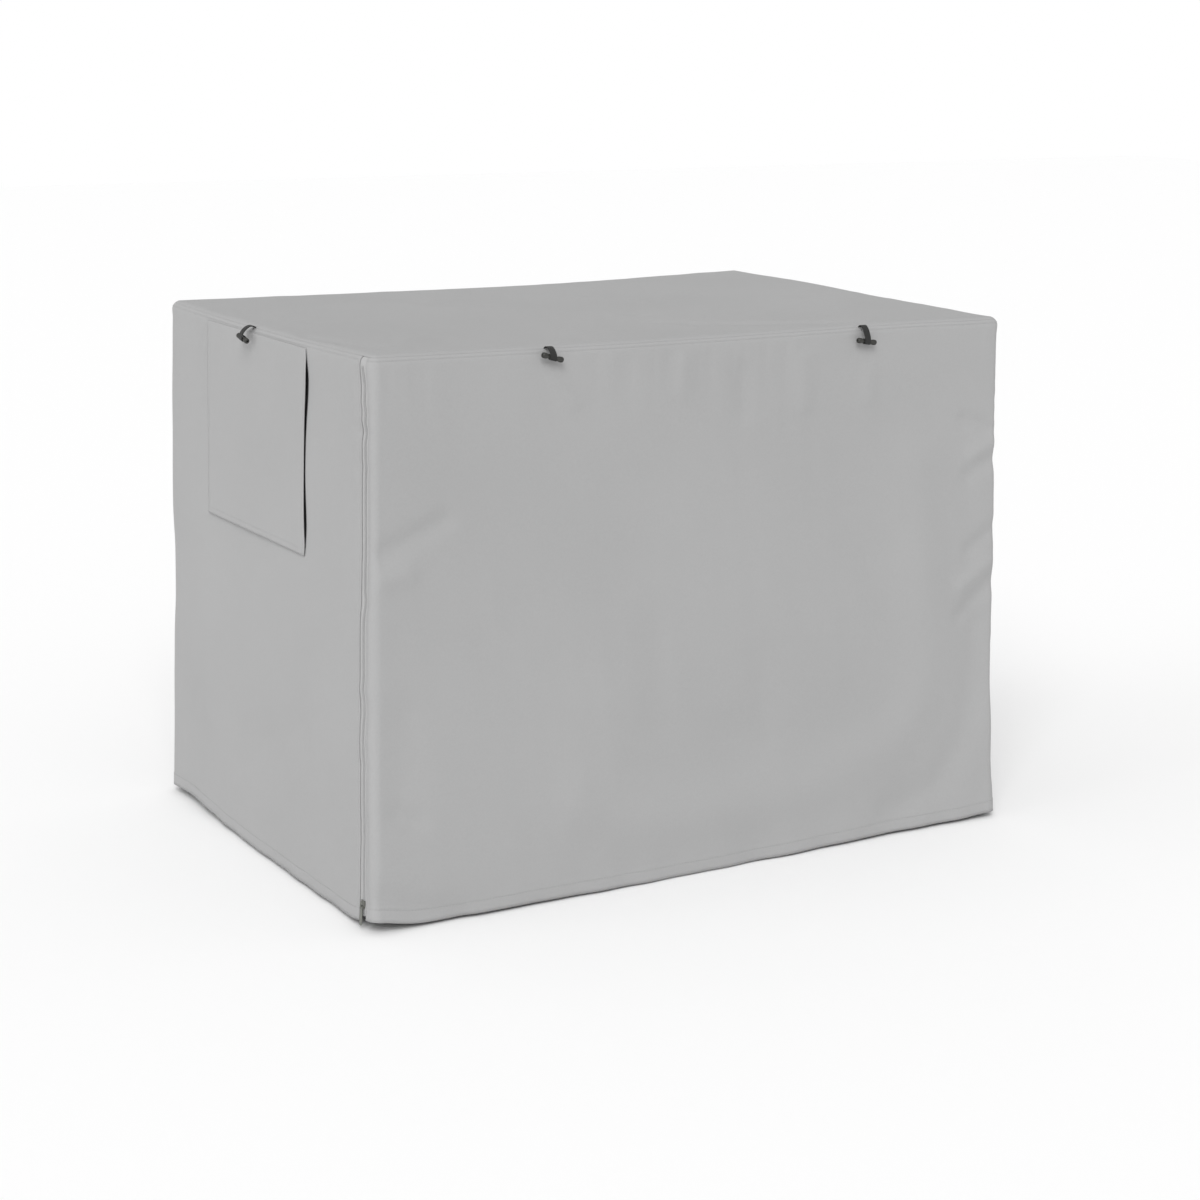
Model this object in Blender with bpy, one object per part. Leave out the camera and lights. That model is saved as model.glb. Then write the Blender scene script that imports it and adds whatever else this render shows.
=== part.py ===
# A fitted box-shaped cloth cover: five panels, a window with its flap, two corner zips and three toggles.
# Metres, +Z up. The origin is the centre of the top's underside, where the cover is held up.
# The long front faces -Y and the end with the window faces -X.

from collections import namedtuple
from math import cos, pi, radians, sin, tan

import bmesh
import bpy
import numpy as np

# Outer size of the cover, which is a little wider at the hem than at the top
TOP_LENGTH = 1.035
TOP_WIDTH = 0.715
HEM_LENGTH = 1.065
HEM_WIDTH = 0.748
COVER_HEIGHT = 0.775

# Cloth and how it turns at the edges
CLOTH = 0.0015
EDGE_RADIUS = 0.014
SEAM_LATITUDE = radians(50)
SEAM_GAP = 0.0004
GAP = 0.0003
TOP_SAG = 0.003
CORNER_RISE = 0.004
FOLD_FADE = 0.03
SHARP_ANGLE = radians(40)

# Zip at each front corner, on the end face just behind the corner
LEG_TOP = 0.0
LEG_HEM = 0.0085
LEG_STEP = 0.001
ZIP_CHANNEL = 0.019
ZIP_OVERLAP = 0.005
TAPE = 0.001
COIL_WIDTH = 0.006
COIL_HEIGHT = 0.002
ZIP_HEM_MARGIN = 0.006
ZIP_SIDE_COLUMNS = (0.0, ZIP_OVERLAP, 0.015, 0.032)

# Slider and pull
SLIDER_DROP = 0.752
SLIDER_LENGTH = 0.011
SLIDER_WIDTH = 0.0094
SLIDER_WALL = 0.0012
SLIDER_TAPER = 0.94
SLIDER_WAIST = 0.001
BRIDGE_LENGTH = 0.008
BRIDGE_WIDTH = 0.002
BRIDGE_BAR = 0.0011
BRIDGE_CLEAR = 0.0022
PULL_LENGTH = 0.029
PULL_WIDTH = 0.007
PULL_THICK = 0.0012
PULL_EYE = 0.0036
PULL_RIM = 0.0014
PULL_EYE_SHOULDER = 0.4
PULL_EYE_FOOT = 0.7
PULL_FOOT_STEPS = 4
PULL_LEAN_LEFT = 0.03
PULL_LEAN_RIGHT = radians(22)

# Window and flap on the -X end
WINDOW_Y = (-0.150, 0.180)
WINDOW_DROP = (0.022, 0.288)
WINDOW_BOW_BREADTH = 0.05
WINDOW_BOW_DROP = (0.300, 0.330)
NET_Y = (-0.184, 0.190)
NET_DROP = (0.0145, 0.298)
NET_THICK = 0.001
FLAP_FAR_Y = 0.200
FLAP_DROP = 0.298
FLAP_GAP = 0.0004
FLAP_CLEAR = 0.0012
FLAP_EASE = 0.02
FLAP_CURL_WIDTH = 0.045

# Toggles: a ribbon out of the top seam round the neck of a turned bar
RIBBON_WIDTH = 0.0105
RIBBON_THICK = 0.0014
RIBBON_ROOT_LIFT = 0.0009
BAR_NECK = 0.0026
BAR_GAP = 0.00045
BAR_SIDES = 12
WRAP_TURN = radians(235)
WRAP_STEPS = 11
ARCH_STEPS = 7
ARCH_PULL = 0.4

CREST_Z = CLOTH + TOP_SAG
HEM_Z = CREST_Z + CORNER_RISE / 2 - COVER_HEIGHT
A_TOP = TOP_LENGTH / 2 - EDGE_RADIUS
B_TOP = TOP_WIDTH / 2 - EDGE_RADIUS
A_HEM = HEM_LENGTH / 2 - EDGE_RADIUS
B_HEM = HEM_WIDTH / 2 - EDGE_RADIUS
QUARTER = radians(90)

# How many rows of cloth lie beside the window and below it
ROWS_ABOVE_WINDOW = 4
WINDOW_ROWS = 6
LOWER_ROWS = 12
CORNER_STEPS = 4
CORNER_TURN = 90.0 / CORNER_STEPS
FRONT_STEPS = 32
BACK_STEPS = 20
TOP_STEPS = (22, 14)
TOP_RIM = np.array([1.5, 2.0])
FLAP_SHARES = np.array([0.0, 0.03, 0.08, 0.15, 0.27, 0.42, 0.58, 0.74, 0.88, 1.0])
FLAP_LOWER_ROWS = 11
NET_STEPS = 8

# Columns run round the walls: the centre of the corner radius is at
# (long_share of the length, across_share of the width + leg_share of the leg + offset),
# and the cloth lies EDGE_RADIUS from it in the direction of heading, in degrees.
Column = namedtuple("Column", "long_share across_share leg_share offset heading")

# The columns of a zip between which its coil stands out
COIL_COLUMNS = (4, 5)

# Rows run down the walls: drop is the depth below the crest, latitude the turn over the crest.
Row = namedtuple("Row", "drop latitude")

# A soft fold: its line on one side of the cover as (along, drop) points, its height out of the
# cloth (negative for a trough) and its breadth to either side.
Fold = namedtuple("Fold", "side height breadth line")

WALL_FOLDS = [
    # the long ridge that sweeps down the right of the front and back along its foot
    Fold("front", 0.0060, 0.045, ((0.365, 0.22), (0.385, 0.43), (0.380, 0.56), (0.326, 0.634), (0.175, 0.675),
                                  (-0.10, 0.683), (-0.21, 0.650))),
    Fold("front", -0.0045, 0.030, ((0.485, 0.47), (0.480, 0.60), (0.43, 0.70), (0.33, 0.745))),
    # gathers under the front crest
    Fold("front", 0.0022, 0.014, ((-0.254, 0.031), (-0.220, 0.080))),
    Fold("front", 0.0020, 0.016, ((-0.048, 0.020), (-0.044, 0.070))),
    Fold("front", -0.0024, 0.015, ((0.058, 0.055), (0.060, 0.110))),
    Fold("front", 0.0022, 0.015, ((0.161, 0.040), (0.163, 0.105))),
    Fold("front", 0.0018, 0.014, ((0.275, 0.070), (0.276, 0.105))),
    # pinch and hollows down the left of the front
    Fold("front", -0.0038, 0.016, ((-0.505, 0.264), (-0.416, 0.223))),
    Fold("front", 0.0030, 0.016, ((-0.504, 0.300), (-0.470, 0.290))),
    Fold("front", -0.0030, 0.030, ((-0.480, 0.490), (-0.482, 0.575))),
    Fold("front", -0.0040, 0.020, ((-0.489, 0.621), (-0.470, 0.630))),
    Fold("front", -0.0050, 0.022, ((-0.515, 0.745), (-0.400, 0.772))),
    # wrinkles down the right edge of the front
    Fold("front", -0.0026, 0.013, ((0.455, 0.150), (0.500, 0.168))),
    Fold("front", 0.0024, 0.012, ((0.470, 0.205), (0.505, 0.190))),
    Fold("front", -0.0030, 0.014, ((0.465, 0.235), (0.510, 0.215))),
    Fold("front", -0.0032, 0.013, ((0.470, 0.350), (0.512, 0.325))),
    Fold("front", 0.0036, 0.013, ((0.455, 0.405), (0.505, 0.375))),
    Fold("front", -0.0036, 0.014, ((0.455, 0.450), (0.512, 0.408))),
    # broad shallow dents in the middle of the front
    Fold("front", -0.0022, 0.032, ((-0.083, 0.390), (-0.084, 0.540))),
    Fold("front", -0.0020, 0.030, ((0.092, 0.470), (0.093, 0.590), (0.036, 0.570))),
    # the cloth drawn in along both corner zips
    Fold("left", -0.0030, 0.016, ((-0.335, 0.030), (-0.338, 0.330))),
    Fold("left", -0.0016, 0.010, ((-0.338, 0.330), (-0.341, 0.760))),
    Fold("right", -0.0030, 0.016, ((-0.335, 0.030), (-0.338, 0.330))),
    Fold("right", -0.0016, 0.010, ((-0.338, 0.330), (-0.341, 0.700))),
    # the end with the window
    Fold("left", -0.0036, 0.050, ((0.340, 0.390), (0.345, 0.460))),
    Fold("left", -0.0028, 0.035, ((0.274, 0.610), (0.285, 0.710))),
    Fold("left", -0.0024, 0.030, ((-0.132, 0.550), (-0.014, 0.605))),
    Fold("left", 0.0028, 0.040, ((-0.200, 0.480), (-0.080, 0.660), (0.120, 0.700))),
    # the flare at the hem of the right front corner
    Fold("front", 0.0016, 0.040, ((0.530, 0.760), (0.535, 0.775))),
    Fold("front", -0.0026, 0.060, ((0.530, 0.420), (0.530, 0.560))),
    Fold("right", 0.0036, 0.035, ((-0.340, 0.755), (-0.345, 0.775))),
    # the plain back and right end
    Fold("back", 0.0045, 0.050, ((-0.330, 0.640), (-0.120, 0.600), (0.100, 0.660), (0.300, 0.560))),
    Fold("back", -0.0035, 0.045, ((0.400, 0.300), (0.340, 0.450))),
    Fold("back", -0.0030, 0.040, ((-0.400, 0.200), (-0.360, 0.360))),
    Fold("right", 0.0030, 0.045, ((-0.180, 0.420), (-0.020, 0.640), (0.180, 0.620))),
    Fold("right", -0.0030, 0.040, ((0.200, 0.250), (0.240, 0.400))),
]

# Folds of the top, with lines as (x, y) points
TOP_FOLDS = [
    Fold("top", 0.0026, 0.012, ((0.020, -0.165), (0.207, -0.270), (0.290, -0.312))),
    Fold("top", -0.0016, 0.014, ((0.060, -0.225), (0.230, -0.305))),
    Fold("top", -0.0022, 0.012, ((0.045, -0.084), (0.056, -0.080))),
    Fold("top", -0.0025, 0.016, ((-0.470, -0.260), (-0.500, -0.110))),
    Fold("top", 0.0020, 0.022, ((-0.450, -0.290), (-0.380, -0.200))),
    Fold("top", -0.0020, 0.060, ((0.200, 0.100), (0.360, 0.040))),
    Fold("top", 0.0016, 0.050, ((-0.260, 0.180), (-0.080, 0.060))),
]

# Where the crest and the hem are drawn up, as a point of the edge, the rise there and its breadth
Lift = namedtuple("Lift", "x y rise breadth")
CREST_LIFTS = [
    Lift(0.5035, 0.130, 0.0045, 0.170),
    Lift(0.5035, -0.3435, -0.0045, 0.110),
    Lift(0.100, 0.3435, -0.0016, 0.220),
]
HEM_LIFTS = [
    Lift(-0.5325, -0.374, 0.0135, 0.048),
    Lift(-0.5325, 0.374, 0.0030, 0.060),
    Lift(-0.5325, 0.270, 0.0080, 0.100),
    Lift(0.5325, -0.374, 0.0040, 0.050),
    Lift(0.5325, 0.374, 0.0050, 0.060),
    Lift(0.000, -0.374, -0.0035, 0.220),
    Lift(0.150, 0.374, -0.0030, 0.200),
]

# Depth by depth: the near edge of the window opening, the near edge of the flap, and how far
# that edge of the flap stands off the panel
FlapEdge = namedtuple("FlapEdge", "drop window_y flap_y standoff")
FLAP_EDGES = [
    FlapEdge(0.010, -0.153, -0.1545, 0.0002),
    FlapEdge(0.022, -0.157, -0.1580, 0.0030),
    FlapEdge(0.034, -0.166, -0.1590, 0.0048),
    FlapEdge(0.064, -0.171, -0.1595, 0.0068),
    FlapEdge(0.100, -0.163, -0.1550, 0.0048),
    FlapEdge(0.150, -0.155, -0.1510, 0.0028),
    FlapEdge(0.193, -0.153, -0.1495, 0.0022),
    FlapEdge(0.244, -0.160, -0.1515, 0.0042),
    FlapEdge(0.270, -0.158, -0.1530, 0.0040),
    FlapEdge(0.288, -0.151, -0.1525, 0.0024),
    FlapEdge(0.298, -0.150, -0.1500, 0.0006),
]

# Each toggle: its side, its place along it, the bar's centre below the crest and off the wall, its tilt
Toggle = namedtuple("Toggle", "name side along drop standoff tilt")
TOGGLES = [
    Toggle("front_left", "front", -0.2560, 0.0135, 0.0110, radians(-16)),
    Toggle("front_right", "front", 0.2620, 0.0225, 0.0100, radians(-9)),
    Toggle("end", "left", 0.0340, 0.0170, 0.0140, radians(-9)),
]

# Half of the turned bar from its middle outwards: distance along the bar and radius
BAR_PROFILE = [(0.0, 0.0026), (0.0062, 0.0026), (0.0092, 0.0036), (0.0130, 0.0040), (0.0155, 0.0036),
               (0.0165, 0.0024)]

SIDE_HEADING = {"front": -90.0, "left": 180.0, "right": 0.0, "back": 90.0}

MATERIALS = {
    "cloth": ((0.44, 0.44, 0.44), 0.90, 0.0),
    "net": ((0.030, 0.030, 0.032), 0.85, 0.0),
    "zip_tape": ((0.36, 0.36, 0.36), 0.75, 0.0),
    "zip_metal": ((0.19, 0.195, 0.18), 0.45, 0.9),
    "ribbon": ((0.025, 0.025, 0.025), 0.85, 0.0),
    "bar_plastic": ((0.032, 0.032, 0.028), 0.45, 0.0),
}


def clear_scene():
    for item in list(bpy.data.objects):
        bpy.data.objects.remove(item, do_unlink=True)


def material(name):
    found = bpy.data.materials.get(name)
    if found:
        return found
    colour, roughness, metallic = MATERIALS[name]
    made = bpy.data.materials.new(name)
    made.use_nodes = True
    shader = made.node_tree.nodes["Principled BSDF"]
    shader.inputs["Base Color"].default_value = (*colour, 1.0)
    shader.inputs["Roughness"].default_value = roughness
    shader.inputs["Metallic"].default_value = metallic
    return made


def smooth(value):
    t = np.clip(value, 0.0, 1.0)
    return t * t * (3.0 - 2.0 * t)


def wall_share(drop):
    return np.clip((drop - EDGE_RADIUS) / (COVER_HEIGHT - EDGE_RADIUS), 0.0, 1.0)


def wall_spot(side, along, drop):
    # a point of a wall with the depth as its third value, so that distances run over the cloth
    share = float(wall_share(drop))
    half_length = A_TOP + (A_HEM - A_TOP) * share + EDGE_RADIUS
    half_width = B_TOP + (B_HEM - B_TOP) * share + EDGE_RADIUS
    spots = {
        "front": (along, -half_width, drop),
        "back": (along, half_width, drop),
        "left": (-half_length, along, drop),
        "right": (half_length, along, drop),
    }
    return np.array(spots[side])


def distance_to_line(points, line):
    nearest = np.full(points.shape[:-1], np.inf)
    for start, end in zip(line[:-1], line[1:]):
        step = end - start
        share = np.clip(((points - start) @ step) / (step @ step), 0.0, 1.0)
        nearest = np.minimum(nearest, np.linalg.norm(points - start - share[..., None] * step, axis=-1))
    return nearest


def fold_push(points):
    total = np.zeros(points.shape[:-1])
    for fold in WALL_FOLDS:
        line = [wall_spot(fold.side, along, drop) for along, drop in fold.line]
        total += fold.height * np.exp(-(distance_to_line(points, line) / fold.breadth) ** 2)
    return total * smooth((points[..., 2] - EDGE_RADIUS) / FOLD_FADE)


def lifted(lifts, x, y):
    level = 0.0
    for lift in lifts:
        level = level + lift.rise * np.exp(-((x - lift.x) ** 2 + (y - lift.y) ** 2) / lift.breadth ** 2)
    return level


def crest_height(x, y):
    # level along the middle of each edge, a little higher at the corners and lower in the middle
    long_share = np.clip(np.abs(x) / A_TOP, 0.0, 1.0)
    wide_share = np.clip(np.abs(y) / B_TOP, 0.0, 1.0)
    rise = CORNER_RISE * (long_share * wide_share) ** 2 + lifted(CREST_LIFTS, x, y)
    return CREST_Z + rise - TOP_SAG * (1.0 - long_share ** 2) * (1.0 - wide_share ** 2)


def hem_height(x, y):
    return HEM_Z + lifted(HEM_LIFTS, x, y)


def wall_points(columns, rows, standoff=0.0, shift_y=0.0):
    # the walls' outer face, moved out by standoff along its plain normal
    field = {name: np.array([getattr(column, name) for column in columns], float)[None, :]
             for name in Column._fields}
    drop = np.array([row.drop for row in rows], float)[:, None]
    latitude = np.array([row.latitude for row in rows], float)[:, None]
    share = wall_share(drop)
    leg = LEG_TOP + (LEG_HEM - LEG_TOP) * share
    centre_x = field["long_share"] * (A_TOP + (A_HEM - A_TOP) * share)
    centre_y = field["across_share"] * (B_TOP + (B_HEM - B_TOP) * share)
    centre_y = centre_y + field["leg_share"] * leg + field["offset"] + shift_y
    heading = np.radians(field["heading"])
    crest_y = field["across_share"] * B_TOP + field["offset"]
    hem_y = field["across_share"] * B_HEM + field["leg_share"] * LEG_HEM + field["offset"]
    arc_base = crest_height(field["long_share"] * A_TOP, crest_y) - EDGE_RADIUS
    hem_x = field["long_share"] * A_HEM + EDGE_RADIUS * np.cos(heading)
    hem = hem_height(hem_x, hem_y + EDGE_RADIUS * np.sin(heading))
    plain_x = centre_x + EDGE_RADIUS * np.cos(heading)
    plain_y = centre_y + EDGE_RADIUS * np.sin(heading)
    spots = np.stack([plain_x, plain_y, np.broadcast_to(drop, plain_x.shape)], axis=-1)
    radius = EDGE_RADIUS + fold_push(spots) + standoff
    height = arc_base * (1.0 - share) + hem * share + radius * np.sin(latitude)
    out = radius * np.cos(latitude)
    return np.stack([centre_x + out * np.cos(heading), centre_y + out * np.sin(heading), height], axis=-1)


def wall_rows():
    # the rows that neighbouring panels and zips share: over the crest from the seam outwards,
    # beside the window, and on to the hem
    start = SEAM_LATITUDE - SEAM_GAP / EDGE_RADIUS / 2
    rows = []
    for latitude in (start, start / 2):
        rows.append(Row(EDGE_RADIUS * (1.0 - sin(latitude)), latitude))
    drops = [EDGE_RADIUS, (EDGE_RADIUS + WINDOW_DROP[0]) / 2]
    drops += list(np.linspace(*WINDOW_DROP, WINDOW_ROWS + 1))
    drops += list(np.linspace(WINDOW_DROP[1], COVER_HEIGHT - ZIP_HEM_MARGIN, LOWER_ROWS + 1))[1:]
    drops.append(COVER_HEIGHT)
    return rows + [Row(drop, 0.0) for drop in drops]


def graded(count, crowd):
    # shares from -1 to 1, closer together towards both ends by crowd
    even = np.linspace(-1.0, 1.0, count + 1)
    return (1.0 - crowd) * even + crowd * np.sin(even * pi / 2)


def build_solid(name, outer, inner, slot, hole=None):
    # a closed sheet between two grids of the same shape, whose faces split along the same diagonals;
    # hole is the block of cells left out, as first and last row and column
    rows, columns = outer.shape[:2]
    kept = np.ones((rows - 1, columns - 1), bool)
    if hole:
        kept[hole[0]:hole[1], hole[2]:hole[3]] = False
    mesh = bpy.data.meshes.new(name)
    body = bmesh.new()
    faces = {"outer": [], "inner": []}
    grid = {key: [[body.verts.new(point) for point in line] for line in points]
            for key, points in (("outer", outer), ("inner", inner))}
    for i in range(rows - 1):
        for j in range(columns - 1):
            if not kept[i, j]:
                continue
            for key, vertices in grid.items():
                ring = [vertices[i][j], vertices[i + 1][j], vertices[i + 1][j + 1], vertices[i][j + 1]]
                faces[key].append(body.faces.new(ring if key == "outer" else ring[:1] + ring[:0:-1]))
    twin = {}
    for i in range(rows):
        for j in range(columns):
            twin[grid["outer"][i][j]] = grid["inner"][i][j]
    for face in faces["outer"]:
        for loop in face.loops:
            if len(loop.edge.link_faces) == 1:
                start, end = loop.vert, loop.link_loop_next.vert
                body.faces.new((end, start, twin[start], twin[end]))
    loose = [vertex for vertex in body.verts if not vertex.link_faces]
    bmesh.ops.delete(body, geom=loose, context="VERTS")
    return finish_body(name, mesh, body, slot)


def finish_body(name, mesh, body, slot):
    bmesh.ops.recalc_face_normals(body, faces=body.faces)
    body.to_mesh(mesh)
    body.free()
    made = bpy.data.objects.new(name, mesh)
    bpy.context.scene.collection.objects.link(made)
    mesh.materials.append(material(slot))
    mesh.shade_smooth()
    mesh.set_sharp_from_angle(angle=SHARP_ANGLE)
    return made


def corner_columns(long_share, across_share, first, last, steps):
    headings = np.linspace(first, last, steps + 1)
    return [Column(long_share, across_share, 0.0, 0.0, heading) for heading in headings]


def wall_sheet(name, columns, rows, hole=None, shift_y=0.0):
    outer = wall_points(columns, rows, 0.0, shift_y)
    inner = wall_points(columns, rows, -CLOTH, shift_y)
    return build_solid(name, outer, inner, "cloth", hole)


def make_front_panel():
    # the leg grows from nothing at the top, so a small step keeps its edge off the corner's turn
    columns = [Column(-1.0, -1.0, 1.0, LEG_STEP, -180.0)]
    columns += corner_columns(-1.0, -1.0, -180.0, -90.0, CORNER_STEPS)
    columns += [Column(share, -1.0, 0.0, 0.0, -90.0) for share in graded(FRONT_STEPS, 0.45)[1:-1]]
    columns += corner_columns(1.0, -1.0, -90.0, 0.0, CORNER_STEPS)
    columns.append(Column(1.0, -1.0, 1.0, LEG_STEP, 0.0))
    return wall_sheet("front_panel", columns, wall_rows())


def zip_side_shares():
    # close columns beside the zip, the second of them where the tape ends
    return [distance / (2.0 * B_TOP - ZIP_CHANNEL) for distance in ZIP_SIDE_COLUMNS]


def end_columns(long_share, shares, turn_steps):
    # an end face from its zip to half way round the back corner
    heading = SIDE_HEADING["right"] if long_share > 0 else SIDE_HEADING["left"]
    seam_turn = 45.0 - np.degrees(SEAM_GAP / EDGE_RADIUS) / 2
    turn = seam_turn if long_share > 0 else -seam_turn
    columns = []
    for share in shares:
        offset = (LEG_STEP + ZIP_CHANNEL) * (1.0 - share)
        columns.append(Column(long_share, 2.0 * share - 1.0, 1.0 - share, offset, heading))
    return columns + corner_columns(long_share, 1.0, heading, heading + turn, turn_steps)[1:]


def end_share(y):
    # the share of an end face's breadth at which a column lies at y, at the window's height
    share = float(wall_share(sum(WINDOW_DROP) / 2))
    half = B_TOP + (B_HEM - B_TOP) * share
    first = LEG_TOP + (LEG_HEM - LEG_TOP) * share + ZIP_CHANNEL + LEG_STEP
    return (y + half - first) / (2.0 * half - first)


def window_edge_shift(columns, rows):
    # the near edge of the window bows out and in; the cloth beside it follows, less with distance
    drops = np.array([row.drop for row in rows])
    edge = np.interp(drops, [item.drop for item in FLAP_EDGES], [item.window_y for item in FLAP_EDGES])
    fade_start, fade_end = WINDOW_BOW_DROP
    bow = (edge - WINDOW_Y[0]) * smooth((fade_end - drops) / (fade_end - fade_start))
    across = np.array([column.across_share * B_TOP + column.offset for column in columns])
    return bow[:, None] * np.exp(-((across - WINDOW_Y[0]) / WINDOW_BOW_BREADTH) ** 2)[None, :]


def make_left_panel():
    near, far = end_share(WINDOW_Y[0]), end_share(WINDOW_Y[1])
    beside_zip = zip_side_shares()
    shares = beside_zip + list(np.linspace(beside_zip[-1], near, 5))[1:]
    first = len(shares) - 1
    shares += list(np.linspace(near, far, 7))[1:]
    last = len(shares) - 1
    shares += list(np.linspace(far, 1.0, 5))[1:]
    columns = end_columns(-1.0, shares, 2)[::-1]
    rows = wall_rows()
    across = len(columns) - 1
    hole = (ROWS_ABOVE_WINDOW, ROWS_ABOVE_WINDOW + WINDOW_ROWS, across - last, across - first)
    return wall_sheet("left_panel", columns, rows, hole, window_edge_shift(columns, rows))


def make_right_panel():
    beside_zip = zip_side_shares()
    shares = beside_zip + list(np.linspace(beside_zip[-1], 1.0, 11))[1:]
    return wall_sheet("right_panel", end_columns(1.0, shares, 2), wall_rows())


def make_back_panel():
    seam_turn = 45.0 - np.degrees(SEAM_GAP / EDGE_RADIUS) / 2
    columns = corner_columns(1.0, 1.0, 90.0 - seam_turn, 90.0, 2)
    columns += [Column(-share, 1.0, 0.0, 0.0, 90.0) for share in graded(BACK_STEPS, 0.2)[1:-1]]
    columns += corner_columns(-1.0, 1.0, 90.0, 90.0 + seam_turn, 2)
    return wall_sheet("back_panel", columns, wall_rows()[:2] + wall_rows()[2::2])


def top_points(across, standoff):
    # a flat grid over the top whose outermost rows turn down round the crest to the seam
    flat_x, flat_y = across
    past_x = np.clip(np.abs(flat_x) - 1.0, 0.0, 1.0)
    past_y = np.clip(np.abs(flat_y) - 1.0, 0.0, 1.0)
    centre_x = np.clip(flat_x, -1.0, 1.0) * A_TOP
    centre_y = np.clip(flat_y, -1.0, 1.0) * B_TOP
    ring = np.maximum(past_x, past_y)
    seam_edge = SEAM_LATITUDE + SEAM_GAP / EDGE_RADIUS / 2
    latitude = QUARTER - ring * (QUARTER - seam_edge)
    least = np.minimum(past_x, past_y) / np.maximum(ring, 1e-9)
    turn = np.where(past_x >= past_y, least, 2.0 - least) * pi / 4
    radius = EDGE_RADIUS + standoff
    out = radius * np.cos(latitude)
    x = centre_x + out * np.cos(turn) * np.sign(flat_x)
    y = centre_y + out * np.sin(turn) * np.sign(flat_y)
    z = crest_height(centre_x, centre_y) - EDGE_RADIUS + radius * np.sin(latitude)
    spots = np.stack([x, y], axis=-1)
    for fold in TOP_FOLDS:
        line = [np.array(point) for point in fold.line]
        rise = fold.height * np.exp(-(distance_to_line(spots, line) / fold.breadth) ** 2)
        z = z + rise * (1.0 - smooth(ring * 2.0))
    return np.stack([x, y, z], axis=-1)


def make_top_panel():
    along, across = [np.concatenate([-TOP_RIM[::-1], graded(steps, 0.25), TOP_RIM]) for steps in TOP_STEPS]
    # rows run towards -Y so that the faces point up
    grid = np.meshgrid(along, across[::-1])
    outer = top_points(grid, 0.0)
    inner = top_points(grid, -CLOTH)
    return build_solid("top_panel", outer, inner, "cloth")


def make_window_net():
    # behind the opening and a little larger than it
    near, far = NET_Y
    columns = [Column(-1.0, 0.0, 0.0, y, 180.0) for y in np.linspace(far, near, NET_STEPS + 1)]
    rows = [Row(drop, 0.0) for drop in np.linspace(*NET_DROP, NET_STEPS + 1)]
    face = -CLOTH - GAP
    outer = wall_points(columns, rows, face)
    inner = wall_points(columns, rows, face - NET_THICK)
    return build_solid("window_mesh", outer, inner, "net")


def make_window_flap():
    # it leaves the crest's turn, hangs over the opening and gapes along its near edge
    start, second, third = [item.drop for item in FLAP_EDGES[:3]]
    drops = np.concatenate([[start, EDGE_RADIUS, second], np.linspace(third, FLAP_DROP, FLAP_LOWER_ROWS)])
    rows = []
    for drop in drops:
        latitude = 0.0
        if drop < EDGE_RADIUS:
            latitude = np.arcsin(1.0 - drop / EDGE_RADIUS)
        rows.append(Row(drop, latitude))
    knots = [item.drop for item in FLAP_EDGES]
    edge = np.interp(drops, knots, [item.flap_y for item in FLAP_EDGES])[:, None]
    gape = np.interp(drops, knots, [item.standoff for item in FLAP_EDGES])[:, None]
    spots = edge + (FLAP_FAR_Y - edge) * FLAP_SHARES[None, ::-1]
    curl = gape * np.exp(-((spots - edge) / FLAP_CURL_WIDTH) ** 2)
    clear = FLAP_GAP + FLAP_CLEAR * smooth((drops[:, None] - EDGE_RADIUS) / FLAP_EASE)
    columns = [Column(-1.0, 0.0, 0.0, 0.0, 180.0)] * len(FLAP_SHARES)
    inner = wall_points(columns, rows, clear + curl, spots)
    outer = wall_points(columns, rows, clear + curl + CLOTH, spots)
    return build_solid("window_flap", outer, inner, "cloth")


def zip_columns(side):
    # across the tape: round the corner, over the leg's edge, up and down the coil, under the end panel
    heading = SIDE_HEADING["right"] if side > 0 else SIDE_HEADING["left"]
    turn = -CORNER_TURN if side > 0 else CORNER_TURN
    columns = [Column(side, -1.0, 0.0, 0.0, heading + turn), Column(side, -1.0, 0.0, 0.0, heading)]
    columns.append(Column(side, -1.0, 1.0, LEG_STEP, heading))
    middle = LEG_STEP + ZIP_CHANNEL / 2
    for reach in (-COIL_WIDTH / 2, -COIL_WIDTH / 4, COIL_WIDTH / 4, COIL_WIDTH / 2):
        columns.append(Column(side, -1.0, 1.0, middle + reach, heading))
    return columns + end_columns(side, zip_side_shares()[:2], 1)[:2]



def zip_rows():
    # from the top seam to just above the hem
    return wall_rows()[:-1]


def zip_frame(side, drop):
    # on the coil's middle line at that depth: the wall's own face, with its lean
    rows = zip_rows()
    below = next(i for i, row in enumerate(rows) if row.drop > drop)
    bracket = rows[below - 1:below + 1]
    upper, lower = wall_points([zip_columns(side)[i] for i in COIL_COLUMNS], bracket).mean(axis=1)
    share = (drop - bracket[0].drop) / (bracket[1].drop - bracket[0].drop)
    up = (upper - lower) / np.linalg.norm(upper - lower)
    across = np.cross(up, np.array([float(side), 0.0, 0.0]))
    across /= np.linalg.norm(across)
    return upper + (lower - upper) * share, np.cross(across, up), across, up


def make_zip(name, side):
    # a tape behind the two panels with a raised coil down the middle of the channel
    columns = zip_columns(side)
    coil = np.zeros((1, len(columns)))
    coil[0, COIL_COLUMNS] = COIL_HEIGHT
    if side < 0:
        columns, coil = columns[::-1], coil[:, ::-1]
    face = -CLOTH - GAP
    outer = wall_points(columns, zip_rows(), face + coil)
    inner = wall_points(columns, zip_rows(), face - TAPE)
    return build_solid(name, outer, inner, "zip_tape")


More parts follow.
